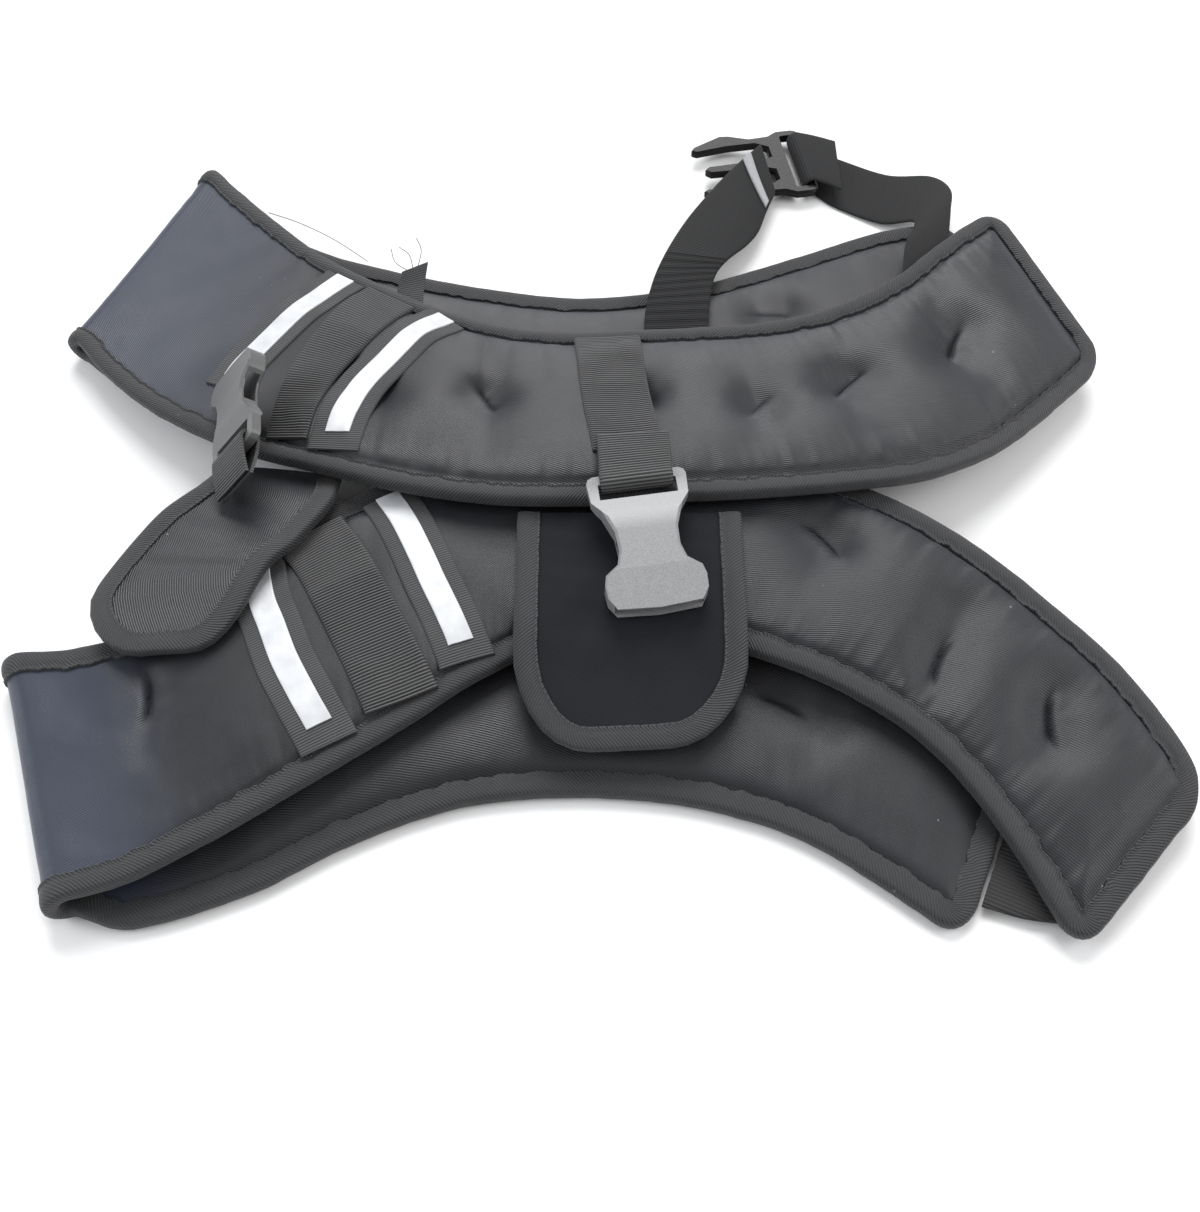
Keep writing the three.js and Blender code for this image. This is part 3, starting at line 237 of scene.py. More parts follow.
class Strip:
    """A band of cloth worked out from a table of sections, with or without a fold and a second layer.
    A place on it is a section number along and a share across, counted from the armhole edge."""

    def __init__(self, front, back=None, toward=1, width=PAD_WIDTH, start=None, end=None, dents=(),
                 thickness=PAD_THICKNESS, edge=EDGE_THICKNESS):
        self.front, self.back, self.toward, self.width = front, back, toward, width
        self.start, self.finish, self.thickness, self.edge = start, end, thickness, edge
        self.fold = len(front) - 1
        self.end = self.fold if back is None else self.fold + len(back)
        self.dents = [(self.point(d[0], d[1]), self.point(d[2], d[3]), d[4], d[5]) for d in dents]

    def rows(self, at):
        front = between(self.front, np.minimum(at, self.fold))
        if self.back is None:
            return front
        back = between(self.back, np.maximum(at - self.fold - 1, 0))
        return np.where((at >= self.fold + 1)[..., None], back, front)

    def place(self, row, across):
        """The section's middle, moved along the section's direction by its share of the width."""
        turn = np.radians(row[..., TURN])
        reach = (across - 0.5) * row[..., WIDE] * self.width
        return np.stack([
            row[..., X] * VEST_SPAN + reach * np.sin(turn),
            row[..., Y] * VEST_REACH + reach * np.cos(turn) * self.toward,
            REST + (row[..., LIFT] + row[..., TILT] * (across - 0.5)) * PAD_THICKNESS,
        ], axis=-1)

    def section_length(self, at, step):
        ends = self.place(self.rows(np.array([at, at + step], float)), np.array([0.5, 0.5]))
        return np.linalg.norm(ends[1] - ends[0]) / abs(step)

    def narrowing(self, at, row):
        """One, less what a quarter circle at each rounded corner takes off both sides."""
        share = np.ones_like(at)
        ends = [(self.start, at, 0, 0.5), (self.finish, self.end - at, self.end, -0.5)]
        for radius, sections, where, step in ends:
            if radius is None:
                continue
            along, across = radius
            s = np.clip(1 - sections * self.section_length(where, step) / along, 0, 1)
            share = share - 2 * across * (1 - np.sqrt(1 - s * s)) / (row[..., WIDE] * self.width)
        return share

    def point(self, at, across):
        """The middle of the thickness. Between the layers each line turns half a circle round the
        middle between them, outwards from the fold."""
        at, across = paired(at, across)
        row = self.rows(at)
        flat = self.place(row, 0.5 + (across - 0.5) * self.narrowing(at, row))
        if self.back is None:
            return flat
        over = self.place(self.front[-1], across)
        under = self.place(self.back[0], across)
        angle = ((at - self.fold) * np.pi)[..., None]
        turn = math.radians(self.front[-1][TURN])
        outward = np.array([-math.cos(turn), math.sin(turn) * self.toward, 0])
        half = (over - under) / 2
        turned = (over + under) / 2 + half * np.cos(angle)
        turned = turned + outward * np.linalg.norm(half, axis=-1, keepdims=True) * np.sin(angle)
        return np.where(((at > self.fold) & (at < self.fold + 1))[..., None], turned, flat)

    def axes(self, at, across, step=0.02):
        """Directions along, across and out of the outer face, from central differences."""
        at, across = paired(at, across)
        after, before = np.minimum(at + step, self.end), np.maximum(at - step, 0)
        along = unit(self.point(after, across) - self.point(before, across))
        after, before = np.minimum(across + step, 1), np.maximum(across - step, 0)
        over = unit(self.point(at, after) - self.point(at, before))
        return along, over, unit(np.cross(over, along) * self.toward)

    def inward(self, at, across):
        """Distance in from the nearest bound edge, less the binding."""
        row = self.rows(at)
        distance = np.minimum(across, 1 - across) * row[..., WIDE] * self.width * self.narrowing(at, row)
        if self.start:
            distance = np.minimum(distance, at * self.section_length(0, 1))
        if self.finish:
            distance = np.minimum(distance, (self.end - at) * self.section_length(self.end, -1))
        return distance - BINDING_WIDTH - 0.5

    def fullness(self, at, across, spare=0.0):
        """A quarter circle up from the binding over the shoulder's rise, times the section's fill, and
        less at each sewn place by a bell curve of the distance from its line."""
        rise = np.clip(self.inward(at, across) / SHOULDER_RISE, 0, 1)
        full = np.sqrt(1 - (1 - rise) ** 2) * np.maximum(self.rows(at)[..., FILL], 0) * (1 - spare)
        here = self.point(at, across)
        for first, second, depth, reach in self.dents:
            r = distance_to_line(here, first, second) / (reach * PAD_WIDTH)
            full = full * (1 - TUFT_PULL * depth * bell(r))
        return full

    def depth(self, at, across, face, spare=0.0):
        """Height of the outer (1) or inner (-1) face over the middle: half the stitched edge, and the
        face's share of the filling. A layer that lies on its back bulges inwards."""
        at, across = paired(at, across)
        on_back = (at > self.fold + 0.5) & (self.back is not None)
        outer = np.where(on_back, BACK_SHARE, FRONT_SHARE)
        share = outer if face > 0 else 1 - outer
        return self.edge / 2 + share * (self.thickness - self.edge) * self.fullness(at, across, spare)

    def surface(self, at, across, face, grow=0.0, spare=0.0):
        out = self.axes(at, across)[2]
        height = self.depth(at, across, face, spare) + grow
        points = self.point(at, across) + out * (face * height)[..., None]
        points[..., 2] = np.maximum(points[..., 2], 0)
        return points

    def even(self, pitch):
        """Section numbers a pitch apart along the middle, closer round the corners."""
        at = np.linspace(0, self.end, 1600)
        run = runs(self.point(at, 0.5))
        curve = 1 - np.cos(np.linspace(0, math.pi / 2, 8))
        head = self.start[0] * curve if self.start else np.zeros(1)
        tail = self.finish[0] * curve if self.finish else np.zeros(1)
        count = max(int((run[-1] - head[-1] - tail[-1]) / pitch), 2)
        middle = np.linspace(head[-1], run[-1] - tail[-1], count)
        want = np.concatenate([head[:-1], middle, run[-1] - tail[-2::-1]])
        return np.interp(want, run, at)


def distance_to_line(points, first, second):
    line = second - first
    t = np.clip(((points - first) @ line) / (line @ line), 0, 1)
    return np.linalg.norm(points - first - t[..., None] * line, axis=-1)


def spread(count, crowded=0.45):
    """Shares from 0 to 1, closer together at both ends."""
    u = np.linspace(0, 1, count)
    return (1 - crowded) * u + crowded * (0.5 - 0.5 * np.cos(np.pi * u))


def smoothed(grid, times):
    """Each value becomes the mean of itself and its four neighbours, over and over."""
    for _ in range(times):
        wide = np.pad(grid, 1, mode="edge")
        grid = (wide[1:-1, 1:-1] + wide[2:, 1:-1] + wide[:-2, 1:-1] + wide[1:-1, 2:] + wide[1:-1, :-2]) / 5
    return grid


def shell_quads(rows, cols):
    """Quads of a closed slab: a rows by cols grid, a second one after it, and the four edges between."""
    i, j = grid_of(np.arange(rows - 1), np.arange(cols - 1))
    a = (i * cols + j).ravel()
    n = rows * cols
    top = np.stack([a, a + cols, a + cols + 1, a + 1], axis=1)
    bottom = np.stack([a, a + 1, a + cols + 1, a + cols], axis=1) + n
    number = np.arange(n).reshape(rows, cols)
    loop = np.concatenate([number[0], number[1:, -1], number[-1, -2::-1], number[-2:0:-1, 0]])
    after = np.roll(loop, -1)
    rim = np.stack([loop, after, after + n, loop + n], axis=1)
    return np.concatenate([top, bottom, rim])


def turned_out(points, quads):
    """The quads with their corners in the order that makes the enclosed volume positive."""
    a, b, c, d = (points[quads[:, k]] for k in range(4))
    volume = (a * np.cross(b, c)).sum() + (a * np.cross(c, d)).sum()
    return quads if volume > 0 else quads[:, ::-1]


def riding(name, mesh, slot, *nodes):
    """A piece that rides the vest's one body, in place of the node that it stands for, which is hidden. Its
    slot is not used.
    """
    piece = bpy.data.objects.new(name, mesh)
    scene.collection.objects.link(piece)
    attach(piece, "root")
    if nodes:
        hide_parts(*nodes)
    return piece


def piece_of(name, points, quads, uv, material, slot, node, caps=(), values={}):
    """A piece of the vest from points in millimetres. uv is in millimetres for each corner of each quad."""
    mesh = bpy.data.meshes.new(name)
    mesh.from_pydata(((points + TO_FRAME) * MM).tolist(), [], quads.tolist() + [list(c) for c in caps])
    corners = np.concatenate([uv.reshape(-1, 2), np.zeros((sum(len(c) for c in caps), 2))])
    layer = mesh.uv_layers.new(name="weave")
    layer.uv.foreach_set("vector", (corners * MM).astype(np.float32).ravel())
    for key, value in values.items():
        mesh.attributes.new(key, "FLOAT", "POINT").data.foreach_set("value", value.astype(np.float32).ravel())
    mesh.shade_smooth()
    mesh.set_sharp_from_angle(angle=CLOTH_SHARP)
    mesh.materials.append(material)
    return riding(name, mesh, slot, node)


def slab_piece(name, top, bottom, material, slot, node, run=None, **values):
    """A closed slab from its outer and inner face, two grids of points of the same size. run is the
    distance along it without its ribs, where it has them, and values are attributes of its points."""
    rows, cols = top.shape[:2]
    points = np.concatenate([top.reshape(-1, 3), bottom.reshape(-1, 3)])
    quads = turned_out(points, shell_quads(rows, cols))
    run = runs(top[:, cols // 2]) if run is None else run
    u = np.broadcast_to(run[:, None], (rows, cols))
    wide = np.linalg.norm(np.diff(top, axis=1), axis=2)
    v = np.concatenate([np.zeros((rows, 1)), np.cumsum(wide, axis=1)], axis=1)
    v = v - v[:, cols // 2][:, None]
    at_point = np.tile(np.stack([u, v], axis=-1).reshape(-1, 2), (2, 1))
    values = {key: np.tile(value.ravel(), 2) for key, value in values.items()}
    return piece_of(name, points, quads, at_point[quads], material, slot, node, values=values)


def tube_piece(name, centre, out, up, profile, material, slot, node, closed):
    """A profile of (out, up) pairs carried along stations. The profile may differ at each station."""
    rings, n = len(centre), profile.shape[-2]
    profile = np.broadcast_to(profile, (rings, n, 2))
    points = centre[:, None] + out[:, None] * profile[..., :1] + up[:, None] * profile[..., 1:]
    points[..., 2] = np.maximum(points[..., 2], 0)
    points = points.reshape(-1, 3)
    i, j = grid_of(np.arange(rings if closed else rings - 1), np.arange(n))
    i2, j2 = (i + 1) % rings, (j + 1) % n
    quads = np.stack([i * n + j, i2 * n + j, i2 * n + j2, i * n + j2], axis=-1).reshape(-1, 4)
    u = runs(np.concatenate([centre, centre[:1]]) if closed else centre)
    v = runs(np.concatenate([profile[0], profile[0][:1]]))
    uv = np.stack([
        np.stack([u[i], v[j]], -1), np.stack([u[i + 1], v[j]], -1),
        np.stack([u[i + 1], v[j + 1]], -1), np.stack([u[i], v[j + 1]], -1),
    ], axis=2).reshape(-1, 4, 2)
    caps = [] if closed else [list(range(n)), list(range(rings * n - 1, (rings - 1) * n - 1, -1))]
    ordered = turned_out(points, quads)
    if ordered is not quads:
        uv, caps = uv[:, ::-1], [cap[::-1] for cap in caps]
    return piece_of(name, points, ordered, uv, material, slot, node, caps)


# Shader parts
class Tree:
    """Adds nodes to a node tree. Plain numbers are set on a socket and sockets are linked to it."""

    def __init__(self, tree):
        self.tree = tree

    def add(self, kind, values=(), **settings):
        node = self.tree.nodes.new(kind)
        for key, value in settings.items():
            setattr(node, key, value)
        for key, value in dict(values).items():
            self.put(node.inputs[key], value)
        return node

    def put(self, socket, value):
        if isinstance(value, bpy.types.NodeSocket):
            self.tree.links.new(value, socket)
        else:
            socket.default_value = value

    def math(self, operation, *values, clamp=False):
        return self.add("ShaderNodeMath", enumerate(values), operation=operation, use_clamp=clamp).outputs[0]

    def plus(self, *values, clamp=False):
        return self.math("ADD", *values, clamp=clamp)

    def times(self, *values, clamp=False):
        return self.math("MULTIPLY", *values, clamp=clamp)

    def mix(self, share, first, second):
        return self.add("ShaderNodeMix", {0: share, 6: first, 7: second}, data_type="RGBA").outputs[2]

    def noise(self, vector, scale, detail=2.0, rough=0.5):
        values = {"Vector": vector, "Scale": scale, "Detail": detail, "Roughness": rough}
        return self.add("ShaderNodeTexNoise", values).outputs["Fac"]

    def ramp(self, value, low, high, to_low=0.0, to_high=1.0):
        return self.add("ShaderNodeMapRange", enumerate((value, low, high, to_low, to_high))).outputs[0]

    def apart(self, vector):
        return self.add("ShaderNodeSeparateXYZ", {0: vector}).outputs

    def attribute(self, name):
        return self.add("ShaderNodeAttribute", attribute_name=name).outputs["Fac"]

    def bump(self, height, distance):
        values = {"Strength": 1.0, "Distance": distance * MM, "Height": height}
        return self.add("ShaderNodeBump", values).outputs[0]

    def group(self, group, **values):
        return self.add("ShaderNodeGroup", values, node_tree=group).outputs


def group_of(name, inputs, outputs, build):
    """A shader node group with named float or vector inputs and float outputs."""
    group = bpy.data.node_groups.new(name, "ShaderNodeTree")
    for key, value in inputs.items():
        kind = "NodeSocketVector" if value is None else "NodeSocketFloat"
        socket = group.interface.new_socket(key, in_out="INPUT", socket_type=kind)
        if value is not None:
            socket.default_value = value
    for key in outputs:
        group.interface.new_socket(key, in_out="OUTPUT", socket_type="NodeSocketFloat")
    tree = Tree(group)
    given = group.nodes.new("NodeGroupInput").outputs
    wanted = group.nodes.new("NodeGroupOutput").inputs
    for key, socket in build(tree, given).items():
        tree.put(wanted[key], socket)
    return group


def build_wales(t, given):
    """Parallel ridges on a cloth: half of one less the cosine of the distance square to them, bent by
    slow noise, so that the grooves lie at whole pitches."""
    apart = t.apart(given["Weave"])
    turn = t.math("RADIANS", given["Turn"])
    square = t.plus(t.times(apart[0], t.math("COSINE", turn)), t.times(apart[1], t.math("SINE", turn)))
    bend = t.times(t.noise(given["Weave"], 60.0), given["Waver"])
    phase = t.times(t.plus(t.math("DIVIDE", square, given["Pitch"]), bend), 2 * math.pi)
    ridge = t.math("MULTIPLY_ADD", t.math("COSINE", phase), -0.5, 0.5)
    return {"Ridge": ridge, "Fuzz": t.noise(given["Weave"], 1600.0, 3.0)}


def build_mottle(t, given):
    """Two sizes of soft cloudy change over the object."""
    large, small = t.noise(given["Place"], 14.0), t.noise(given["Place"], 90.0, 3.0)
    return {"Cloud": t.ramp(t.plus(t.times(large, 0.65), t.times(small, 0.35)), 0.32, 0.68)}


def build_lint(t, given):
    """Sparse specks of dust and lint: the middles of a few cells of a cell pattern."""
    cells = t.add("ShaderNodeTexVoronoi", {"Vector": given["Place"], "Scale": given["Scale"]}, feature="F1")
    near = t.ramp(cells.outputs["Distance"], 0.05, 0.09, 1.0, 0.0)
    return {"Speck": t.times(near, t.math("GREATER_THAN", t.apart(cells.outputs["Color"])[0], 0.965))}


def build_stitches(t, given):
    """A row of stitches at one distance across the cloth: dashes along it with a hole at each end."""
    apart = t.apart(given["Weave"])
    off = t.math("ABSOLUTE", t.math("SUBTRACT", apart[1], given["Row"]))
    turn = t.math("FRACT", t.math("DIVIDE", apart[0], given["Length"]))
    middle = t.math("ABSOLUTE", t.math("SUBTRACT", turn, 0.5))
    return {
        "Thread": t.times(t.ramp(off, 0.25 * MM, 0.55 * MM, 1.0, 0.0), t.ramp(middle, 0.36, 0.42, 1.0, 0.0)),
        "Hole": t.times(t.ramp(middle, 0.38, 0.46), t.ramp(off, 0.4 * MM, 0.9 * MM, 1.0, 0.0)),
        "Furrow": t.ramp(off, 0.2 * MM, 1.4 * MM, 1.0, 0.0),
    }


WALES = group_of("wales", {"Weave": None, "Pitch": 0.001, "Turn": 45.0, "Waver": 0.0}, ["Ridge", "Fuzz"],
                 build_wales)
MOTTLE = group_of("mottle", {"Place": None}, ["Cloud"], build_mottle)
LINT = group_of("lint", {"Place": None, "Scale": 160.0}, ["Speck"], build_lint)
STITCHES = group_of("stitches", {"Weave": None, "Row": 0.001, "Length": 0.003}, ["Thread", "Hole", "Furrow"],
                    build_stitches)


def material_of(name, **plain):
    """A material, its tree with both coordinates, and its shader's inputs with the given plain values."""
    material = bpy.data.materials.new(name)
    material.use_nodes = True
    t = Tree(material.node_tree)
    t.weave = t.add("ShaderNodeUVMap", uv_map="weave").outputs[0]
    t.place = t.add("ShaderNodeTexCoord").outputs["Object"]
    shader = material.node_tree.nodes["Principled BSDF"].inputs
    for key, value in plain.items():
        shader[key.replace("_", " ")].default_value = value
    return material, t, shader


# Bump of the cloths: heights as shares of CLOTH_BUMP, which is in millimetres like STITCH_LENGTH
FUZZ_HEIGHT, FURROW_HEIGHT, THREAD_HEIGHT = 0.06, 0.35, 0.3
CLOTH_BUMP, STITCH_LENGTH = 0.3, 3.2
LINT_COLOUR = (0.35, 0.36, 0.38, 1)
# painted shade in stitch holes
HOLE_SHADE_PAINT = (0.002, 0.002, 0.002, 1)
# painted shade deep in creases
CREASE_SHADE_PAINT = (0.002, 0.002, 0.0025, 1)
# painted sheen: a bluer slate on slack cloth, in place of the light's grazing sheen
PAINTED_SHEEN_SLATE = (0.026, 0.032, 0.052, 1)


def cloth(name, dark, light, pitch, turn, ridge_height, ridge_shade=0.25, roughness=0.75, waver=0.6,
          lint=0.0, stitch_row=None, folded=False, **plain):
    """Woven or knitted cloth: ridges with fuzz for bump, colour from dark to light by clouds and by ridges
    (painted shade in the grooves), specks of lint, and a row of stitches with painted shade in its holes
    where there is one. Folded cloth gets painted sheen, a bluer slate where it is slack, and painted shade,
    darker and duller, where it is tucked deep in a crease."""
    material, t, shader = material_of(name, **plain)
    wales = t.group(WALES, Weave=t.weave, Pitch=pitch * MM, Turn=turn, Waver=waver)
    cloud = t.group(MOTTLE, Place=t.place)["Cloud"]
    # painted shade and highlight: darker in the grooves between ridges and lighter on them, mixed with random
    # clouds
    share = t.plus(t.times(wales["Ridge"], ridge_shade), t.times(cloud, 1 - ridge_shade), clamp=True)
    colour = t.mix(share, (*dark, 1), (*light, 1))
    height = t.plus(t.times(wales["Ridge"], ridge_height), t.times(wales["Fuzz"], FUZZ_HEIGHT))
    if stitch_row is not None:
        sewn = t.group(STITCHES, Weave=t.weave, Row=stitch_row * MM, Length=STITCH_LENGTH * MM)
        thread = tuple(min(c * 1.9 + 0.01, 1) for c in light)
        colour = t.mix(t.times(sewn["Thread"], 0.35), colour, (*thread, 1))
        # painted shade in the stitch holes
        colour = t.mix(sewn["Hole"], colour, HOLE_SHADE_PAINT)
        height = t.math("SUBTRACT", height, t.times(sewn["Furrow"], FURROW_HEIGHT))
        height = t.plus(height, t.times(sewn["Thread"], THREAD_HEIGHT))
    if lint:
        colour = t.mix(t.times(t.group(LINT, Place=t.place)["Speck"], lint), colour, LINT_COLOUR)
    if folded:
        tuck = t.attribute("tuck")
        # painted sheen: slack cloth is tinted a bluer slate, standing in for the light's grazing sheen
        colour = t.mix(t.attribute("slack"), colour, PAINTED_SHEEN_SLATE)
        # painted shade: deep in a crease the cloth is darkened and its gloss is lowered
        colour = t.mix(t.times(tuck, 0.8, clamp=True), colour, CREASE_SHADE_PAINT)
        t.put(shader["Specular IOR Level"], t.ramp(tuck, 0.0, 0.7, plain["Specular_IOR_Level"], 0.04))
    t.put(shader["Base Color"], colour)
    t.put(shader["Roughness"], t.ramp(cloud, 0.0, 1.0, roughness - 0.06, roughness + 0.06))
    t.put(shader["Normal"], t.bump(height, CLOTH_BUMP))
    return material


def neoprene_cloth(name, gloss, sheen, roughness):
    """Smooth knitted neoprene face with fine wales, and the painted sheen and painted crease shade of folded
    cloth.
    """
    return cloth(
        name, (0.0095, 0.0101, 0.0122), (0.0185, 0.0197, 0.0235), 0.95, 68, 0.3, ridge_shade=0.35,
        roughness=roughness, waver=0.35, lint=0.4, folded=True, Sheen_Weight=sheen, Sheen_Roughness=0.35,
        Sheen_Tint=(0.75, 0.82, 1.0, 1), Specular_IOR_Level=gloss)


def reflective_film():
    """Silver reflective film: tiny beads, faint creases and a slight cool tone."""
    material, t, shader = material_of(
        "reflective_film", Specular_IOR_Level=0.6, Coat_Weight=0.15, Coat_Roughness=0.3)
    beads, soft = t.noise(t.weave, 2600.0), t.noise(t.weave, 120.0, 3.0)
    t.put(shader["Base Color"], t.mix(t.ramp(soft, 0.35, 0.65), (0.48, 0.49, 0.51, 1), (0.58, 0.59, 0.61, 1)))
    t.put(shader["Roughness"], t.ramp(beads, 0.3, 0.7, 0.36, 0.5))
    t.put(shader["Normal"], t.bump(t.plus(t.times(beads, 0.1), soft), 0.08))
    return material


def moulded_plastic(name, dark, light, roughness, grain, gloss):
    """Moulded plastic: frosted speckle from a fine and a coarse noise, in its colour, gloss and bump."""
    material, t, shader = material_of(name, Specular_IOR_Level=gloss)
    fine, coarse = t.noise(t.place, 4200.0), t.noise(t.place, 1500.0, 3.0, 0.6)
    both = t.plus(t.times(fine, 0.4), t.times(coarse, 0.6))
    t.put(shader["Base Color"], t.mix(t.ramp(both, 0.38, 0.62), (*dark, 1), (*light, 1)))
    t.put(shader["Roughness"], t.ramp(both, 0.35, 0.65, roughness - 0.08, roughness + 0.08))
    t.put(shader["Normal"], t.bump(both, grain))
    return material


NEOPRENE = neoprene_cloth("neoprene_knit", 0.42, 0.18, 0.46)
NEOPRENE_BACK = neoprene_cloth("neoprene_back", 0.12, 0.02, 0.85)
BINDING = cloth("twill_binding", (0.008, 0.0084, 0.0096), (0.032, 0.0332, 0.037), 1.15, 38, 1.0,
                ridge_shade=0.55, roughness=0.68, waver=0.5, lint=0.3, stitch_row=1.6, Sheen_Weight=0.1)
TAPE = cloth("woven_tape", (0.018, 0.0185, 0.02), (0.085, 0.087, 0.09), TAPE_RIB, 0, 0.3,
             ridge_shade=0.65, roughness=0.7, waver=0.05)
WEBBING = cloth("ribbed_webbing", (0.003, 0.0031, 0.0033), (0.085, 0.086, 0.089), WEBBING_RIB, 0, 0.2,
                ridge_shade=0.8, roughness=0.55, waver=0.0)
STRAP = cloth("strap_webbing", (0.006, 0.0062, 0.0068), (0.022, 0.0225, 0.024), STRAP_RIB, 0, 0.4,
              ridge_shade=0.45, roughness=0.72, waver=0.1, Sheen_Weight=0.05, Specular_IOR_Level=0.2)
ELASTIC = cloth("woven_elastic", (0.01, 0.01, 0.0105), (0.028, 0.028, 0.03), 1.6, 90, 0.8,
                ridge_shade=0.5, roughness=0.8, waver=0.3)
REFLECTIVE = reflective_film()
SILVER, FROSTED_PLASTIC, GREY_PLASTIC, BLACK_PLASTIC = (moulded_plastic(*row) for row in (
    ("silver_keeper", (0.24, 0.245, 0.255), (0.34, 0.345, 0.355), 0.6, 0.02, 0.25),
    ("frosted_plastic", (0.19, 0.192, 0.198), (0.27, 0.273, 0.28), 0.38, 0.07, 0.55),
    ("grey_plastic", (0.1, 0.1005, 0.102), (0.12, 0.1207, 0.122), 0.36, 0.015, 0.5),
    ("black_plastic", (0.006, 0.006, 0.0063), (0.008, 0.008, 0.0084), 0.3, 0.002, 0.12),
))


# The tables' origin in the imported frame, worked out from the panel between the two back layers
CORNERS = {"start": (PAD_CORNER, PAD_CORNER), "end": (PAD_CORNER, PAD_CORNER)}
lower = Strip(LOWER_FRONT, LOWER_BACK, 1, dents=LOWER_DENTS, **CORNERS)
upper = Strip(UPPER_FRONT, UPPER_BACK, -1, dents=UPPER_DENTS, **CORNERS)
PANEL_SECTIONS = np.arange(19, 21.5, 0.5)
PANEL_LAP = np.array([0, 2.6, 0])
panel_near = lower.point(PANEL_SECTIONS, 1) + PANEL_LAP
panel_far = upper.point(PANEL_SECTIONS, 1) - PANEL_LAP
panel_low, panel_high = (np.array(corner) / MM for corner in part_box("back_panel"))
panel_rim = np.concatenate([panel_near, panel_far])
TO_FRAME = (panel_low + panel_high) / 2 - (panel_rim.min(0) + panel_rim.max(0)) / 2
TO_FRAME[2] = 0

# The cover's simulated cloth
COVER = {
    "quality": 5, "mass": 0.2, "tension_stiffness": 20, "compression_stiffness": 20, "shear_stiffness": 8,
    "bending_stiffness": 1.5, "use_pressure": True, "uniform_pressure_force": 4, "shrink_min": -0.02,
    "vertex_group_mass": "sewn",
}
COVER_PITCH, COVER_COLUMNS, COVER_FRAMES = 5, 23, 20
HELD_BY_EDGE, HELD_BY_TUFT = 1, 4
WRINKLE_SHARE = 0.3  # of what the simulated cover shows
WRINKLE_LOW, WRINKLE_HIGH = -2, 1.6

# The cover's small folds in millimetres. Heights and the lean are multiplied by each dent's depth, and
# CREASE_BOW is how far a crease bends per square millimetre along it.
RAY_HEIGHT, RAY_REACH = 0.13, 7
CREASE_DEPTH, CREASE_LENGTH, CREASE_FAR, CREASE_NEAR, CREASE_BOW = 3, 5, 11, 1.1, 0.008
CREASE_FADE, CREASE_LIMIT = 6, 40
LIP_HEIGHT, LIP_AT, LIP_REACH = 0.5, 3.5, 4
LEAN, LEAN_AT, LEAN_REACH = 1.5, 1.6, 2
# where the painted crease shade lies beside a crease, and how far it spreads
TUCK_SHADE_AT, TUCK_SHADE_REACH = 0.6, 1.9
VALLEY_DEPTH, VALLEY_REACH, VALLEY_RISE = 1.9, 15, 16
RIPPLE_HEIGHT, RIPPLE_RISE, RIPPLE_REACH = 0.5, 2, 9


def inflated_wrinkles(strip, name):
    """Wrinkles of the cover by cloth simulation: a slightly slack closed skin, held at its sewn edge and
    tufts, is blown up by pressure. What its height has more than its own smoothed height is the wrinkle.
    Gives the two section and share scales and the wrinkle of the outer and the inner face."""
    at, across = strip.even(COVER_PITCH), spread(COVER_COLUMNS)
    grid_at, grid_across = grid_of(at, across)
    faces = [strip.surface(grid_at, grid_across, side, spare=0.12) for side in (1, -1)]
    points = np.concatenate([f.reshape(-1, 3) for f in faces])
    quads = turned_out(points, shell_quads(*grid_at.shape))
    mesh = bpy.data.meshes.new(name)
    mesh.from_pydata((points * MM).tolist(), [], quads.tolist())
    skin = bpy.data.objects.new(name, mesh)
    scene.collection.objects.link(skin)
    held = strip.inward(grid_at, grid_across) < HELD_BY_EDGE
    here = strip.point(grid_at, grid_across)
    for first, second, _, _ in strip.dents:
        held |= distance_to_line(here, first, second) < HELD_BY_TUFT
    pins = skin.vertex_groups.new(name="sewn")
    pins.add(np.flatnonzero(np.tile(held.ravel(), 2)).tolist(), 1.0, "REPLACE")
    cover = skin.modifiers.new("cover", "CLOTH")
    for key, value in COVER.items():
        setattr(cover.settings, key, value)
    cover.settings.effector_weights.gravity = 0
    cover.collision_settings.use_collision = False
    for number in range(1, COVER_FRAMES + 1):
        scene.frame_set(number)
    blown = skin.evaluated_get(bpy.context.evaluated_depsgraph_get()).data
    after = np.empty(len(points) * 3, np.float32)
    blown.vertices.foreach_get("co", after)
    scene.frame_set(1)
    bpy.data.objects.remove(skin)
    moved = after.reshape(2, *grid_at.shape, 3) / MM
    out = strip.axes(grid_at, grid_across)[2]
    wrinkles = []
    for k, side in enumerate((1, -1)):
        height = ((moved[k] - faces[k]) * out).sum(-1) * side
        uneven = smoothed(height, 1) - smoothed(height, 14)
        wrinkles.append(WRINKLE_SHARE * np.clip(uneven, WRINKLE_LOW, WRINKLE_HIGH))
    return at, across, wrinkles


def read_smoothly(grid, at, across, at_fine, across_fine):
    """A grid of values read between its rows and then between its columns."""
    rows = between(grid, np.interp(at_fine, at, np.arange(len(at))))
    return between(rows.T, np.interp(across_fine, across, np.arange(len(across)))).T


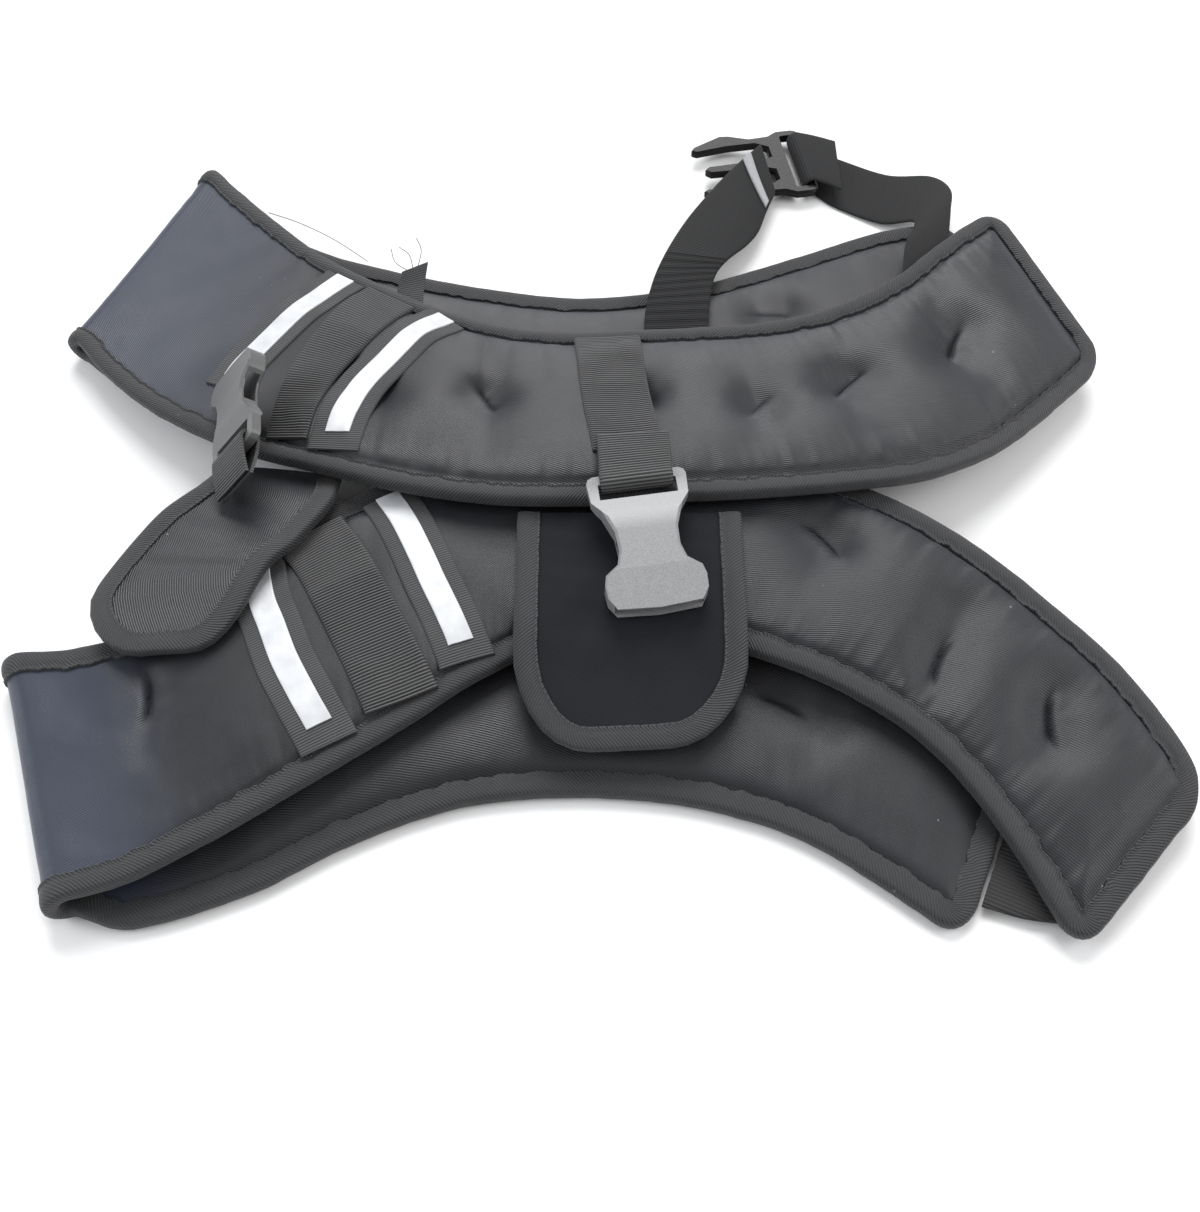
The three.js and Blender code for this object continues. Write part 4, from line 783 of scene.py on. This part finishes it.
def puckers(strip, at, across, seed):
    """Small folds of the cover: rays round each tuft that fade with distance, a crease there with a soft
    far side and a steep near one that has a raised lip, a shallow valley across the pad at each tuft, and
    ripples that run in from the stitched edge and die away. Gives the heights, how far the lip of each
    crease leans over it, and how deep in a crease each place is, which sets the painted crease shade."""
    draw = np.random.default_rng(seed)
    here = strip.point(at, across)
    along, over, face = strip.axes(at, across)
    height, tuck, slide = np.zeros(at.shape), np.zeros(at.shape), np.zeros(here.shape)
    probe = np.linspace(0, strip.end, 400)
    probe_line = strip.point(probe, 0.5)
    probe_run = runs(probe_line)
    run = np.interp(at, probe, probe_run)
    inward = strip.inward(at, across)
    for first, second, depth, _ in strip.dents:
        middle = (first + second) / 2
        away = here - middle
        r = np.linalg.norm(away, axis=-1)
        angle = np.arctan2((away * over).sum(-1), (away * along).sum(-1))
        rays = np.cos(draw.integers(4, 6) * angle + draw.uniform(0, 6.28))
        rays = rays + 0.6 * np.cos(7 * angle + draw.uniform(0, 6.28))
        height += RAY_HEIGHT * depth * rays * (r / RAY_REACH) * np.exp(1 - r / RAY_REACH)
        crease = unit(second - first)
        half_length = min(np.linalg.norm(second - first) / 2, CREASE_LENGTH)
        past = np.maximum(np.abs(away @ crease) - half_length, 0)
        farther = np.sign(crease[0] + 1e-9) * np.cross(face, crease) * np.sign(face[..., 2:])
        beyond = (away * farther).sum(-1) + CREASE_BOW * (away @ crease) ** 2
        pit = np.where(beyond > 0, bell(beyond / CREASE_FAR), bell(beyond / CREASE_NEAR))
        lip = np.where(beyond > 0, 0, bell((beyond + LIP_AT) / LIP_REACH))
        near_middle = depth * bell(past / CREASE_FADE) * (r < CREASE_LIMIT)
        height += near_middle * (LIP_HEIGHT * lip - CREASE_DEPTH * pit)
        # painted shade mask: how deep in a crease each place lies
        tuck = np.maximum(tuck, near_middle * bell((beyond - TUCK_SHADE_AT) / TUCK_SHADE_REACH))
        slide += farther * (LEAN * near_middle * bell((beyond + LEAN_AT) / LEAN_REACH))[..., None]
        nearest = probe_run[np.argmin(np.linalg.norm(probe_line - middle, axis=1))]
        valley = bell((run - nearest) / VALLEY_REACH) * np.clip(inward / VALLEY_RISE, 0, 1)
        height -= VALLEY_DEPTH * depth * valley
    apart = run + np.where(across < 0.5, 0.0, 1000.0)  # so that the two edges differ
    ripple = wander(apart, 9.0, seed + 1) + 0.6 * wander(apart, 21.0, seed + 2)
    filled = np.clip(strip.rows(at)[..., FILL], 0.15, 1)
    fade = np.clip(inward / RIPPLE_RISE, 0, 1) * np.exp(-np.maximum(inward, 0) / RIPPLE_REACH)
    height += RIPPLE_HEIGHT * filled * ripple * fade
    return height, slide, tuck


ON_FRONT = (200, 34)  # a grid place on the front layer of both halves


class Skin:
    """The face that lies over a pad's hollows, read at any place, for what is sewn on the pad."""

    def __init__(self, at, across, points):
        self.at, self.across, self.points = at, across, points
        self.normals = unit(np.cross(np.gradient(points, axis=1), np.gradient(points, axis=0)))
        # One strip runs the other way round, and out is up on the front layer
        self.normals *= np.sign(self.normals[ON_FRONT][2])

    def read(self, at, across, lift):
        """The face between its four nearest points, raised along its normal."""
        def number(value, scale):
            return np.clip(np.interp(value, scale, np.arange(len(scale))), 0, len(scale) - 1.001)

        i, j = number(at, self.at), number(across, self.across)
        i0, j0 = i.astype(int), j.astype(int)
        s, t = (i - i0)[..., None], (j - j0)[..., None]

        def mixed(grid):
            return (grid[i0, j0] * (1 - s) * (1 - t) + grid[i0 + 1, j0] * s * (1 - t)
                    + grid[i0, j0 + 1] * (1 - s) * t + grid[i0 + 1, j0 + 1] * s * t)
        return mixed(self.points) + unit(mixed(self.normals)) * lift[..., None]


PAD_PITCH, PAD_COLUMNS = 1.5, 68
SLACK_FROM = 0.5  # share of filling under which the cloth is slack and takes the painted sheen
BRIDGE_DROP = 0.6  # the most that the face under the ribbons lies below the pad's own


def pad(name, strip, node, seed):
    """One padded half: the strip's outer and inner face with the wrinkles and puckers of its cover. The
    face that ribbons lie on bridges the hollows, and is kept with the strip."""
    at, across = strip.even(PAD_PITCH), spread(PAD_COLUMNS)
    grid_at, grid_across = grid_of(at, across)
    height, slide, tuck = puckers(strip, grid_at, grid_across, seed)
    extra = [height, 0.4 * puckers(strip, grid_at, grid_across, seed + 7)[0]]
    fold_fade = np.clip(strip.inward(grid_at, grid_across) / 5, 0, 1)
    rough_at, rough_across, wrinkles = inflated_wrinkles(strip, name + "_cover")
    for k in (0, 1):
        extra[k] = extra[k] + read_smoothly(wrinkles[k], rough_at, rough_across, at, across) * fold_fade
    fill = strip.rows(grid_at)[..., FILL]
    # painted sheen mask: slack cloth near the fold, tinted bluer for the light's grazing sheen
    slack = np.clip((SLACK_FROM - fill) / SLACK_FROM, 0, 1) * (np.abs(grid_at - strip.fold) < 5)
    piece = slab_piece(name, strip.surface(grid_at, grid_across, 1, extra[0]) + slide,
                       strip.surface(grid_at, grid_across, -1, np.minimum(extra[1], 0.3)),
                       NEOPRENE, "neoprene", node, slack=slack, tuck=tuck)
    plain = strip.depth(grid_at, grid_across, 1)
    height = plain + extra[0]
    bridged = np.maximum(smoothed(height, 150), height - BRIDGE_DROP) - plain
    strip.skin = Skin(at, across, strip.surface(grid_at, grid_across, 1, bridged))


# The binding's section: out from the cloth's edge in millimetres, and level from 0 at the tape's inner
# side to 1 at its back, negative under the cloth. INSIDE, TURNED and 0 are levels of their own: within
# the cloth, round the edge at 0.45 of the binding's half thickness, and in the middle.
INSIDE, TURNED = 0.25, 0.38
BINDING_SECTION = np.array([
    (-8, INSIDE), (-8, 0.8), (-7.5, 1), (-6.4, 0.62), (-5.2, 0.98), (-3.4, 1.12), (-1.6, 1.12),
    (-0.2, 0.98), (0.9, 0.72), (1.5, TURNED), (1.7, 0), (1.5, -TURNED), (0.9, -0.72), (-0.2, -0.98),
    (-1.6, -1.08), (-3.4, -1.05), (-6.4, -0.95), (-8, -0.8), (-8, -INSIDE),
])
IN_CLOTH = 0.35  # how far the tape's inner side lies under the middle of the gap over the cloth


def binding(name, strip, node, wall, seed, closed=True, width=BINDING_WIDTH, wavy=1.0):
    """Twill tape folded over the edge of a strip. Its profile is carried round the edge, the rounded
    back swells and sinks a little, and its inner edge wanders between the stitches."""
    at = strip.even(1.7)
    ends = np.linspace(0, 1, 50)[1:-1]
    path = [np.stack([at, np.zeros(len(at))], 1), np.stack([np.full(len(ends), strip.end), ends], 1),
            np.stack([at[::-1], np.ones(len(at))], 1)]
    if closed:
        path.append(np.stack([np.zeros(len(ends)), ends[::-1]], 1))
    path = np.concatenate(path)
    centre = strip.point(path[:, 0], path[:, 1])
    if closed:
        along = unit(np.roll(centre, -1, axis=0) - np.roll(centre, 1, axis=0))
    else:
        along = unit(np.gradient(centre, axis=0))
    up = strip.axes(np.clip(path[:, 0], 0.05, strip.end - 0.05), np.clip(path[:, 1], 0.03, 0.97))[2]
    out = unit(np.cross(up, along) * strip.toward)
    up = unit(np.cross(along, out) * strip.toward)
    for _ in range(3 if closed else 0):
        out, up = (unit(np.roll(v, 1, axis=0) + v + np.roll(v, -1, axis=0)) for v in (out, up))
    run = runs(centre)
    half = strip.edge / 2 + GAP / 2
    inner_edge = -width - 0.3 + wavy * (0.6 * wander(run, 11, seed) + 0.4 * wander(run, 5, seed + 1))
    swell = 1 + 0.12 * wander(run, 17, seed + 2)
    reach, level = BINDING_SECTION.T
    size = np.abs(level)
    profile = np.empty((len(centre), len(reach) + 2, 2))
    profile[:, :-2, 0] = reach * np.where(reach < -3, width / BINDING_WIDTH, 1)
    profile[:, :-2, 0] += np.where(reach < -5, 1.0, 0.0) * (inner_edge + width)[:, None]
    profile[:, :-2, 0] *= np.where(reach > 0, swell[:, None] * wall / BINDING_WALL, 1.0)
    raised = np.select(
        [size == 0, size == INSIDE, size == TURNED],
        [0, half - 0.5, 0.45 * (half + wall)], half - IN_CLOTH + size * (wall + IN_CLOTH))
    profile[:, :-2, 1] = np.sign(level) * raised
    profile[:, -2] = (-1.0, -half + 0.4)
    profile[:, -1] = (-1.0, half - 0.4)
    return tube_piece(name, centre, out, up, profile, BINDING, "binding", node, closed)


def rib_wave(run, pitch):
    """Rounded ribs with narrow grooves: less the fourth power of a cosine, between -1 and 0."""
    return -np.cos(np.pi * run / pitch) ** 4


def with_edges(first, second, third, middle):
    """Three values, those in the middle, and the three again the other way round."""
    return np.array([first, second, third, *middle, third, second, first])


def ribbon(name, strip, path, width, thickness, lift, material, slot, node, rib=0.0, pitch=1.0):
    """A ribbon sewn on a pad's outer face along places given as section, share and width share. Each
    line across it lies on the finished face, and ribs rise on its top as a wave along its length."""
    rows = np.array([[*p, 1.0][:3] for p in path])
    knots = np.linspace(0, len(rows) - 1, 60)
    middle = between(rows, knots)
    length = runs(strip.point(middle[:, 0], middle[:, 1]))
    run = np.linspace(0, length[-1], int(length[-1] / (pitch / RIB_STEPS if rib else 0.8)))
    at, across, wide = between(rows, np.interp(run, length, knots)).T
    centre = strip.point(at, across)
    along, over, face = strip.axes(at, across)
    side = unit(np.cross(face, np.gradient(centre, axis=0)))
    per_section = np.linalg.norm(strip.point(at + 0.1, across) - centre, axis=1) * 10
    per_share = np.linalg.norm(strip.point(at, across + 0.05) - centre, axis=1) * 20
    skew, to_along, to_over = (along * over).sum(1), (side * along).sum(1), (side * over).sum(1)
    a = (to_along - skew * to_over) / (1 - skew ** 2)
    b = (to_over - skew * to_along) / (1 - skew ** 2)
    shares = with_edges(-0.5, -0.49, -0.47, np.linspace(-0.44, 0.44, 13))
    shares[-3:] *= -1
    rounding = with_edges(0.35, 0.75, 0.95, np.ones(13))
    reach = shares[None] * width * wide[:, None]
    to_at = at[:, None] + reach * (a / per_section)[:, None]
    to_across = np.clip(across[:, None] + reach * (b / per_share)[:, None], 0.02, 0.98)
    wave = rib * rib_wave(run, pitch)[:, None] * (rounding[None] > 0.5)
    top = strip.skin.read(to_at, to_across, lift + thickness * rounding[None] + wave)
    bottom = strip.skin.read(to_at, to_across, np.full(to_at.shape, lift - SUNK))
    slab_piece(name, top, bottom, material, slot, node, run=run)


def strap(name, strip, material, slot, node, rib=0.0, pitch=WEBBING_RIB, heavy_from=None):
    """Free webbing: both faces of its strip, thinner at the very edges, with cross ribs on both. From
    heavy_from of its length on, the ribs are those of the heavy webbing."""
    probe = np.linspace(0, strip.end, 800)
    length = runs(strip.point(probe, 0.5))
    run = np.linspace(0, length[-1], int(length[-1] / (pitch / RIB_STEPS if rib else 0.9)))
    across = with_edges(0, 0.012, 0.04, np.linspace(0.08, 0.92, 11))
    across[-3:] = 1 - across[-3:]
    thin = with_edges(0.45, 0.15, 0.03, np.zeros(11)) * strip.thickness
    grids = grid_of(np.interp(run, length, probe), across)
    wave = rib * rib_wave(run, pitch)
    if heavy_from is not None:
        wave = np.where(run > heavy_from * length[-1], 0.4 * rib_wave(run, WEBBING_RIB), wave)
    wave = wave[:, None] - thin[None]
    return slab_piece(name, strip.surface(*grids, 1, wave), strip.surface(*grids, -1, wave), material, slot,
                      node, run=run)


def declared(piece, strip, held, rests_on, **more):
    """Works out the length in metres of its strip's middle line, and the width at each section with and
    without its rounded corners, but declares nothing and gives nothing back.
    The piece is not used."""
    at = np.linspace(0, strip.end, 200)
    row = strip.rows(at)
    run = runs(strip.point(at, 0.5)) * MM
    wide = row[:, WIDE] * strip.width * MM
    here = wide * strip.narrowing(at, row)


def flap(name, node, strip, seed, material, rests_on):
    """A flat neoprene flap with a slow unevenness, and its bound edge."""
    grid_at, grid_across = grid_of(strip.even(2.0), spread(40))
    slow = wander(grid_at * 40 + grid_across * 30, 46, seed)
    uneven = 0.35 * slow * np.clip(strip.inward(grid_at, grid_across) / 6, 0, 1)
    slab = slab_piece(name, strip.surface(grid_at, grid_across, 1, uneven),
                      strip.surface(grid_at, grid_across, -1), material, "neoprene", node)
    edge = binding(name + "_edge", strip, node + "_binding", 0.8, seed, closed=False, wavy=0.25)
    declared(slab, strip, "laid", rests_on, with_pieces=[edge])


STANDING_ROUND = 1.5  # millimetres, on a plastic part's edges that stand through its thickness
SHARP_FROM = math.radians(28)


def plastic(name, node, radius, material, slot):
    """A hard part: the frame's own solid with its corners merged, its flat faces joined, the edges that
    stand through its thickness rounded well and every other hard edge rounded over."""
    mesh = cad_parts[node].data.copy()
    shape = bmesh.new()
    shape.from_mesh(mesh)
    bmesh.ops.remove_doubles(shape, verts=shape.verts, dist=0.01 * MM)
    bmesh.ops.dissolve_limit(shape, angle_limit=math.radians(2), verts=shape.verts, edges=shape.edges)
    thickness = max(shape.faces, key=lambda f: f.calc_area()).normal.copy()
    standing = []
    for edge in shape.edges:
        run = (edge.verts[1].co - edge.verts[0].co).normalized()
        if len(edge.link_faces) == 2 and abs(run.dot(thickness)) > 0.97 and edge.calc_face_angle(0) > 0.3:
            standing.append(edge)
    bmesh.ops.bevel(shape, geom=standing, offset=STANDING_ROUND * MM, offset_type="OFFSET", segments=4,
                    profile=0.5, affect="EDGES", clamp_overlap=True)
    shape.to_mesh(mesh)
    shape.free()
    mesh.materials.clear()
    mesh.materials.append(material)
    mesh.shade_smooth()
    mesh.set_sharp_from_angle(angle=SHARP_FROM)
    rounded = riding(name, mesh, slot, node).modifiers.new("rounded", "BEVEL")
    rounded.width = radius * MM
    rounded.segments = 3
    rounded.limit_method = "ANGLE"
    rounded.angle_limit = SHARP_FROM
    rounded.harden_normals = True


pad("lower_half", lower, "lower_pad", 3)
pad("upper_half", upper, "upper_pad", 5)
binding("lower_half_edge", lower, "lower_binding", BINDING_WALL, 21, width=7.6)
binding("upper_half_edge", upper, "upper_binding", BINDING_WALL, 31, width=6.4)

# What is sewn on the pads, as places along its middle: section, share of the pad's width, and share of
# its own width where that isn't one
TAPES = {
    "upper_tape_outer": (upper, [
        (10.4, 0.06), (10.66, 0.22), (10.88, 0.34), (11.08, 0.5), (11.26, 0.66), (11.36, 0.8)]),
    "upper_tape_inner": (upper, [
        (8.8, 0.06), (9.15, 0.22), (9.42, 0.4), (9.68, 0.58), (9.8, 0.74), (9.85, 0.93)]),
    "lower_tape_outer": (lower, [
        (11.0, 0.93), (11.02, 0.75), (10.99, 0.62), (10.95, 0.45), (10.86, 0.27), (10.73, 0.06)]),
    "lower_tape_inner": (lower, [
        (9.75, 0.93), (9.63, 0.76), (9.53, 0.6), (9.43, 0.44), (9.3, 0.27), (9.14, 0.06)]),
}
WEBBINGS = {
    "chest_webbing": (upper, WEBBING_WIDTH, [
        (6.45, 0.06), (6.46, 0.3), (6.45, 0.5), (6.42, 0.65), (6.4, 0.78)]),
    "upper_waist_webbing": (upper, SMALL_WEBBING_WIDTH, [
        (9.66, 0.06, 1.1), (9.95, 0.24, 1.1), (10.18, 0.42, 1.02), (10.35, 0.6, 0.92), (10.42, 0.76, 0.82),
        (10.44, 0.93, 0.75)]),
    "lower_waist_webbing": (lower, WEBBING_WIDTH, [
        (10.48, 0.93), (10.34, 0.74), (10.24, 0.57), (10.14, 0.4), (10.04, 0.24), (9.92, 0.06)]),
}
for node, (strip, path) in TAPES.items():
    ribbon(node + "_cloth", strip, path, TAPE_WIDTH, TAPE_THICKNESS, RIBBON_LIFT, TAPE, "tape", node,
           rib=0.22, pitch=TAPE_RIB)
    film = node.replace("tape", "reflector")
    film_end = tuple(0.4 * a + 0.6 * b for a, b in zip(path[-2], path[-1]))
    ribbon(film + "_film", strip, path[:-1] + [film_end], REFLECTOR_WIDTH, REFLECTOR_THICKNESS,
           RIBBON_LIFT + TAPE_THICKNESS + 0.1, REFLECTIVE, "reflective", film)
for node, (strip, width, path) in WEBBINGS.items():
    ribbon(node + "_ribs", strip, path, width, WEBBING_THICKNESS, RIBBON_LIFT, WEBBING, "webbing", node,
           rib=0.5, pitch=WEBBING_RIB)


def flat_strip(front, width, thickness, **more):
    return Strip(front, width=width, thickness=thickness, edge=thickness, **more)


flap("chest_backing", "chest_flap", flat_strip(CHEST_FLAP, FLAP_WIDTH, FLAP_THICKNESS, end=(42, 30)), 41,
     NEOPRENE_BACK, ["lower_half"])
flap("waist_backing", "waist_flap", flat_strip(WAIST_FLAP, SMALL_FLAP_WIDTH, FLAP_THICKNESS, end=(34, 22)),
     43, NEOPRENE, ["lower_half", "upper_half"])
strap("chest_loop_ribs", flat_strip(CHEST_LOOP_OVER, WEBBING_WIDTH, WEBBING_THICKNESS, back=CHEST_LOOP_UNDER),
      WEBBING, "webbing", "chest_loop", rib=0.4)
tail = flat_strip(TAIL_STRAP, ADJUSTER_WIDTH, WEBBING_THICKNESS)
FINE = {"rib": 0.08, "pitch": STRAP_RIB}
for name, node, strip, material, slot, held, rests_on, ribs in (
    ("back_strap_weave", "back_strap",
     flat_strip(BACK_STRAP_OVER, ADJUSTER_WIDTH, WEBBING_THICKNESS, back=BACK_STRAP_UNDER),
     STRAP, "webbing", "folded", ["latch_half", "upper_half"], FINE),
    ("tail_strap_weave", "tail_strap", tail,
     STRAP, "webbing", "laid", ["latch_half", "upper_half"], {**FINE, "heavy_from": 0.52}),
    ("lower_side_elastic", "lower_side_band", flat_strip(LOWER_SIDE_BAND, BAND_WIDTH, BAND_THICKNESS),
     ELASTIC, "elastic", "stretched", ["lower_half"], {}),
    ("upper_side_elastic", "upper_side_band", flat_strip(UPPER_SIDE_BAND, BAND_WIDTH, BAND_THICKNESS),
     ELASTIC, "elastic", "stretched", ["upper_half"], {}),
    ("tape_end_cloth", "tape_end", flat_strip(TAPE_END, TAB_WIDTH, TAPE_THICKNESS),
     TAPE, "tape", "laid", ["upper_half"], {"rib": 0.12, "pitch": TAPE_RIB}),
):
    declared(strap(name, strip, material, slot, node, **ribs), strip, held, rests_on)


def keeper_band():
    """The silver strip over the tail strap, bent to the strap's own face and raised over it."""
    path = np.array([[0.75, 0.04], [0.66, 0.5], [0.56, 0.96]])
    here = between(path, np.linspace(0, 2, 60))
    at = here[:, :1] + np.linspace(-0.5, 0.5, 9)[None] * KEEPER_WIDTH / tail.section_length(0, 1)
    across = np.broadcast_to(here[:, 1:], at.shape)
    thin = np.array([0.4, 0.1, *np.zeros(5), 0.1, 0.4])[None]
    slab_piece("keeper_strip", tail.surface(at, across, 1, 2 * GAP + 1 - thin),
               tail.surface(at, across, 1, GAP), SILVER, "silver", "keeper")


def back_panel():
    """The panel between the back layers: straight lines from one half's centre edge to the other's."""
    t = np.linspace(0, 1, 30)[None, :, None]
    rows = np.linspace(0, len(PANEL_SECTIONS) - 1, 40)
    near, far = between(panel_near, rows)[:, None], between(panel_far, rows)[:, None]
    middle = near + (far - near) * t
    half = np.array([0, 0, FLAP_THICKNESS / 2])
    panel = slab_piece("back_panel_cloth", middle + half, middle - half, NEOPRENE, "neoprene", "back_panel")


# Where the waist buckle's bar is, in shares of span and reach and in millimetres up, and how it faces
WAIST_BAR = (-0.301, -0.0025, 40.3)
WAIST_FRONT = (-0.1, 0.99, 0.04)
WAIST_RIGHT = (0.62, 0.02, 0.78)
LOOP_TAIL = 17


def waist_loop():
    """A short webbing loop: a line out along one side, half a circle round the bar and back along the
    other side, where the two ends close together."""
    turn = np.radians(np.linspace(90, -90, 40))
    out = np.linspace(-LOOP_TAIL, -LOOP_TAIL / 3, 24)
    closing = LOOP_RADIUS + (WEBBING_THICKNESS * 0.56 - LOOP_RADIUS) * np.clip(-out / LOOP_TAIL, 0, 1) ** 1.5
    side = np.stack([out, closing], 1)
    arc = np.stack([np.cos(turn), np.sin(turn)], 1) * LOOP_RADIUS
    line = np.concatenate([side, arc, side[::-1] * (1, -1)])
    length = runs(line)
    run = np.linspace(0, length[-1], int(length[-1] / (WEBBING_RIB / RIB_STEPS)))
    line = np.stack([np.interp(run, length, line[:, k]) for k in (0, 1)], 1)
    away = unit(np.gradient(line, axis=0)) @ np.array([[0, 1], [-1, 0]])
    y = unit(np.array(WAIST_FRONT))
    x = unit(np.array(WAIST_RIGHT) - y * (np.array(WAIST_RIGHT) @ y))
    z = np.cross(x, y)
    origin = np.array(WAIST_BAR) * (VEST_SPAN, VEST_REACH, 1)
    width = np.linspace(-0.5, 0.5, 11) * SMALL_WEBBING_WIDTH
    height = WEBBING_THICKNESS / 2 + 0.35 * rib_wave(run, WEBBING_RIB)

    def face(sign):
        flat = line + away * (sign * height)[:, None]
        return origin + x * width[None, :, None] + (flat[:, :1] * y + flat[:, 1:] * z)[:, None]
    slab_piece("waist_loop_ribs", face(1), face(-1), WEBBING, "webbing", "waist_loop", run=run)


# Loose threads by the tape end: x and y in shares of the span and reach, z in millimetres
THREADS = [
    [(-0.3249, 0.426, 19), (-0.2884, 0.3985, 22), (-0.25, 0.369, 22), (-0.215, 0.338, 20)],
    [(-0.166, 0.311, 25.5), (-0.17, 0.325, 29), (-0.181, 0.336, 30)],
    [(-0.161, 0.314, 26), (-0.158, 0.33, 30), (-0.163, 0.343, 33)],
    [(-0.17, 0.308, 25), (-0.184, 0.318, 27), (-0.188, 0.33, 31)],
]
THREAD_RADIUS = 0.2


def threads():
    """Fine strands, each a curve through its chosen points, all in one piece."""
    lines = bpy.data.curves.new("loose_threads", "CURVE")
    lines.dimensions = "3D"
    lines.bevel_depth = THREAD_RADIUS * MM
    lines.bevel_resolution = 1
    for rows in THREADS:
        rows = np.array(rows, float) * (VEST_SPAN, VEST_REACH, 1)
        points = (between(rows, np.linspace(0, len(rows) - 1, 14)) + TO_FRAME) * MM
        line = lines.splines.new("POLY")
        line.points.add(len(points) - 1)
        line.points.foreach_set("co", np.column_stack([points, np.ones(len(points))]).ravel())
    drawn = bpy.data.objects.new("thread_lines", lines)
    scene.collection.objects.link(drawn)
    mesh = bpy.data.meshes.new_from_object(drawn)
    bpy.data.objects.remove(drawn)
    mesh.materials.clear()
    mesh.materials.append(TAPE)
    mesh.uv_layers.new(name="weave")
    riding("loose_threads", mesh, "tape")


keeper_band()
back_panel()
waist_loop()
plastic("chest_buckle_housing", "chest_buckle", 1.1, FROSTED_PLASTIC, "grey_plastic")
plastic("waist_buckle_housing", "waist_buckle", 0.7, GREY_PLASTIC, "grey_plastic")
plastic("latch_half", "latch_buckle", 0.6, BLACK_PLASTIC, "black_plastic")
threads()

# Camera, floor and light
SENSOR = 36
CAMERA_DISTANCE = 0.63
CAMERA_ELEVATION = math.radians(56)
LOOK_AT = Vector((0.01028, -0.07412, 0))
FLOOR_RADIUS, FLOOR_SIDES, FLOOR_DROP = 4, 64, 0.0001
WORLD_STRENGTH = 0.6
camera_data = bpy.data.cameras.new("camera")
camera_data.sensor_fit = "VERTICAL"
camera_data.sensor_height = SENSOR
camera_data.lens = 1500 / 1212 * SENSOR
camera = bpy.data.objects.new("camera", camera_data)
scene.collection.objects.link(camera)
toward_camera = Vector((0, -math.cos(CAMERA_ELEVATION), math.sin(CAMERA_ELEVATION)))
camera.location = LOOK_AT + CAMERA_DISTANCE * toward_camera
camera.rotation_euler = (math.pi / 2 - CAMERA_ELEVATION, 0, 0)
scene.camera = camera


def floor():
    """A pale disc, far wider than the vest."""
    turn = np.linspace(0, 2 * np.pi, FLOOR_SIDES + 1)[:-1]
    mesh = bpy.data.meshes.new("floor")
    ring = np.stack([np.cos(turn), np.sin(turn), np.full(FLOOR_SIDES, -FLOOR_DROP)], 1)
    mesh.from_pydata((ring * (FLOOR_RADIUS, FLOOR_RADIUS, 1)).tolist(), [], [list(range(FLOOR_SIDES))])
    material, t, shader = material_of("pale_floor", Roughness=0.9, Specular_IOR_Level=0.1)
    t.put(shader["Base Color"], t.mix(t.noise(t.place, 3.0), (0.86, 0.86, 0.86, 1), (0.9, 0.9, 0.9, 1)))
    mesh.materials.append(material)
    disc = bpy.data.objects.new("floor", mesh)
    scene.collection.objects.link(disc)


def lamp(name, kind, location, size, power, colour=(1, 1, 1)):
    """A soft light that faces the vest: a square of size metres, or a sun as wide as size degrees."""
    data = bpy.data.lights.new(name, kind)
    if kind == "AREA":
        data.size = size
    else:
        data.angle = math.radians(size)
    data.energy = power
    data.color = colour
    light = bpy.data.objects.new(name, data)
    light.location = location
    light.rotation_euler = (LOOK_AT - Vector(location)).to_track_quat("-Z", "Y").to_euler()
    scene.collection.objects.link(light)


floor()
lamp("back_window", "SUN", (0.0, 1.2, 1.3), 36, 2.75)
lamp("right_light", "AREA", (1.3, -0.1, 0.9), 0.9, 10)
lamp("left_light", "AREA", (-1.2, -0.2, 0.8), 0.7, 7, (0.9, 0.95, 1))
world = bpy.data.worlds.new("studio")
world.use_nodes = True
world.node_tree.nodes["Background"].inputs["Color"].default_value = (1, 1, 1, 1)
world.node_tree.nodes["Background"].inputs["Strength"].default_value = WORLD_STRENGTH
scene.world = world
scene.view_settings.view_transform = "Standard"
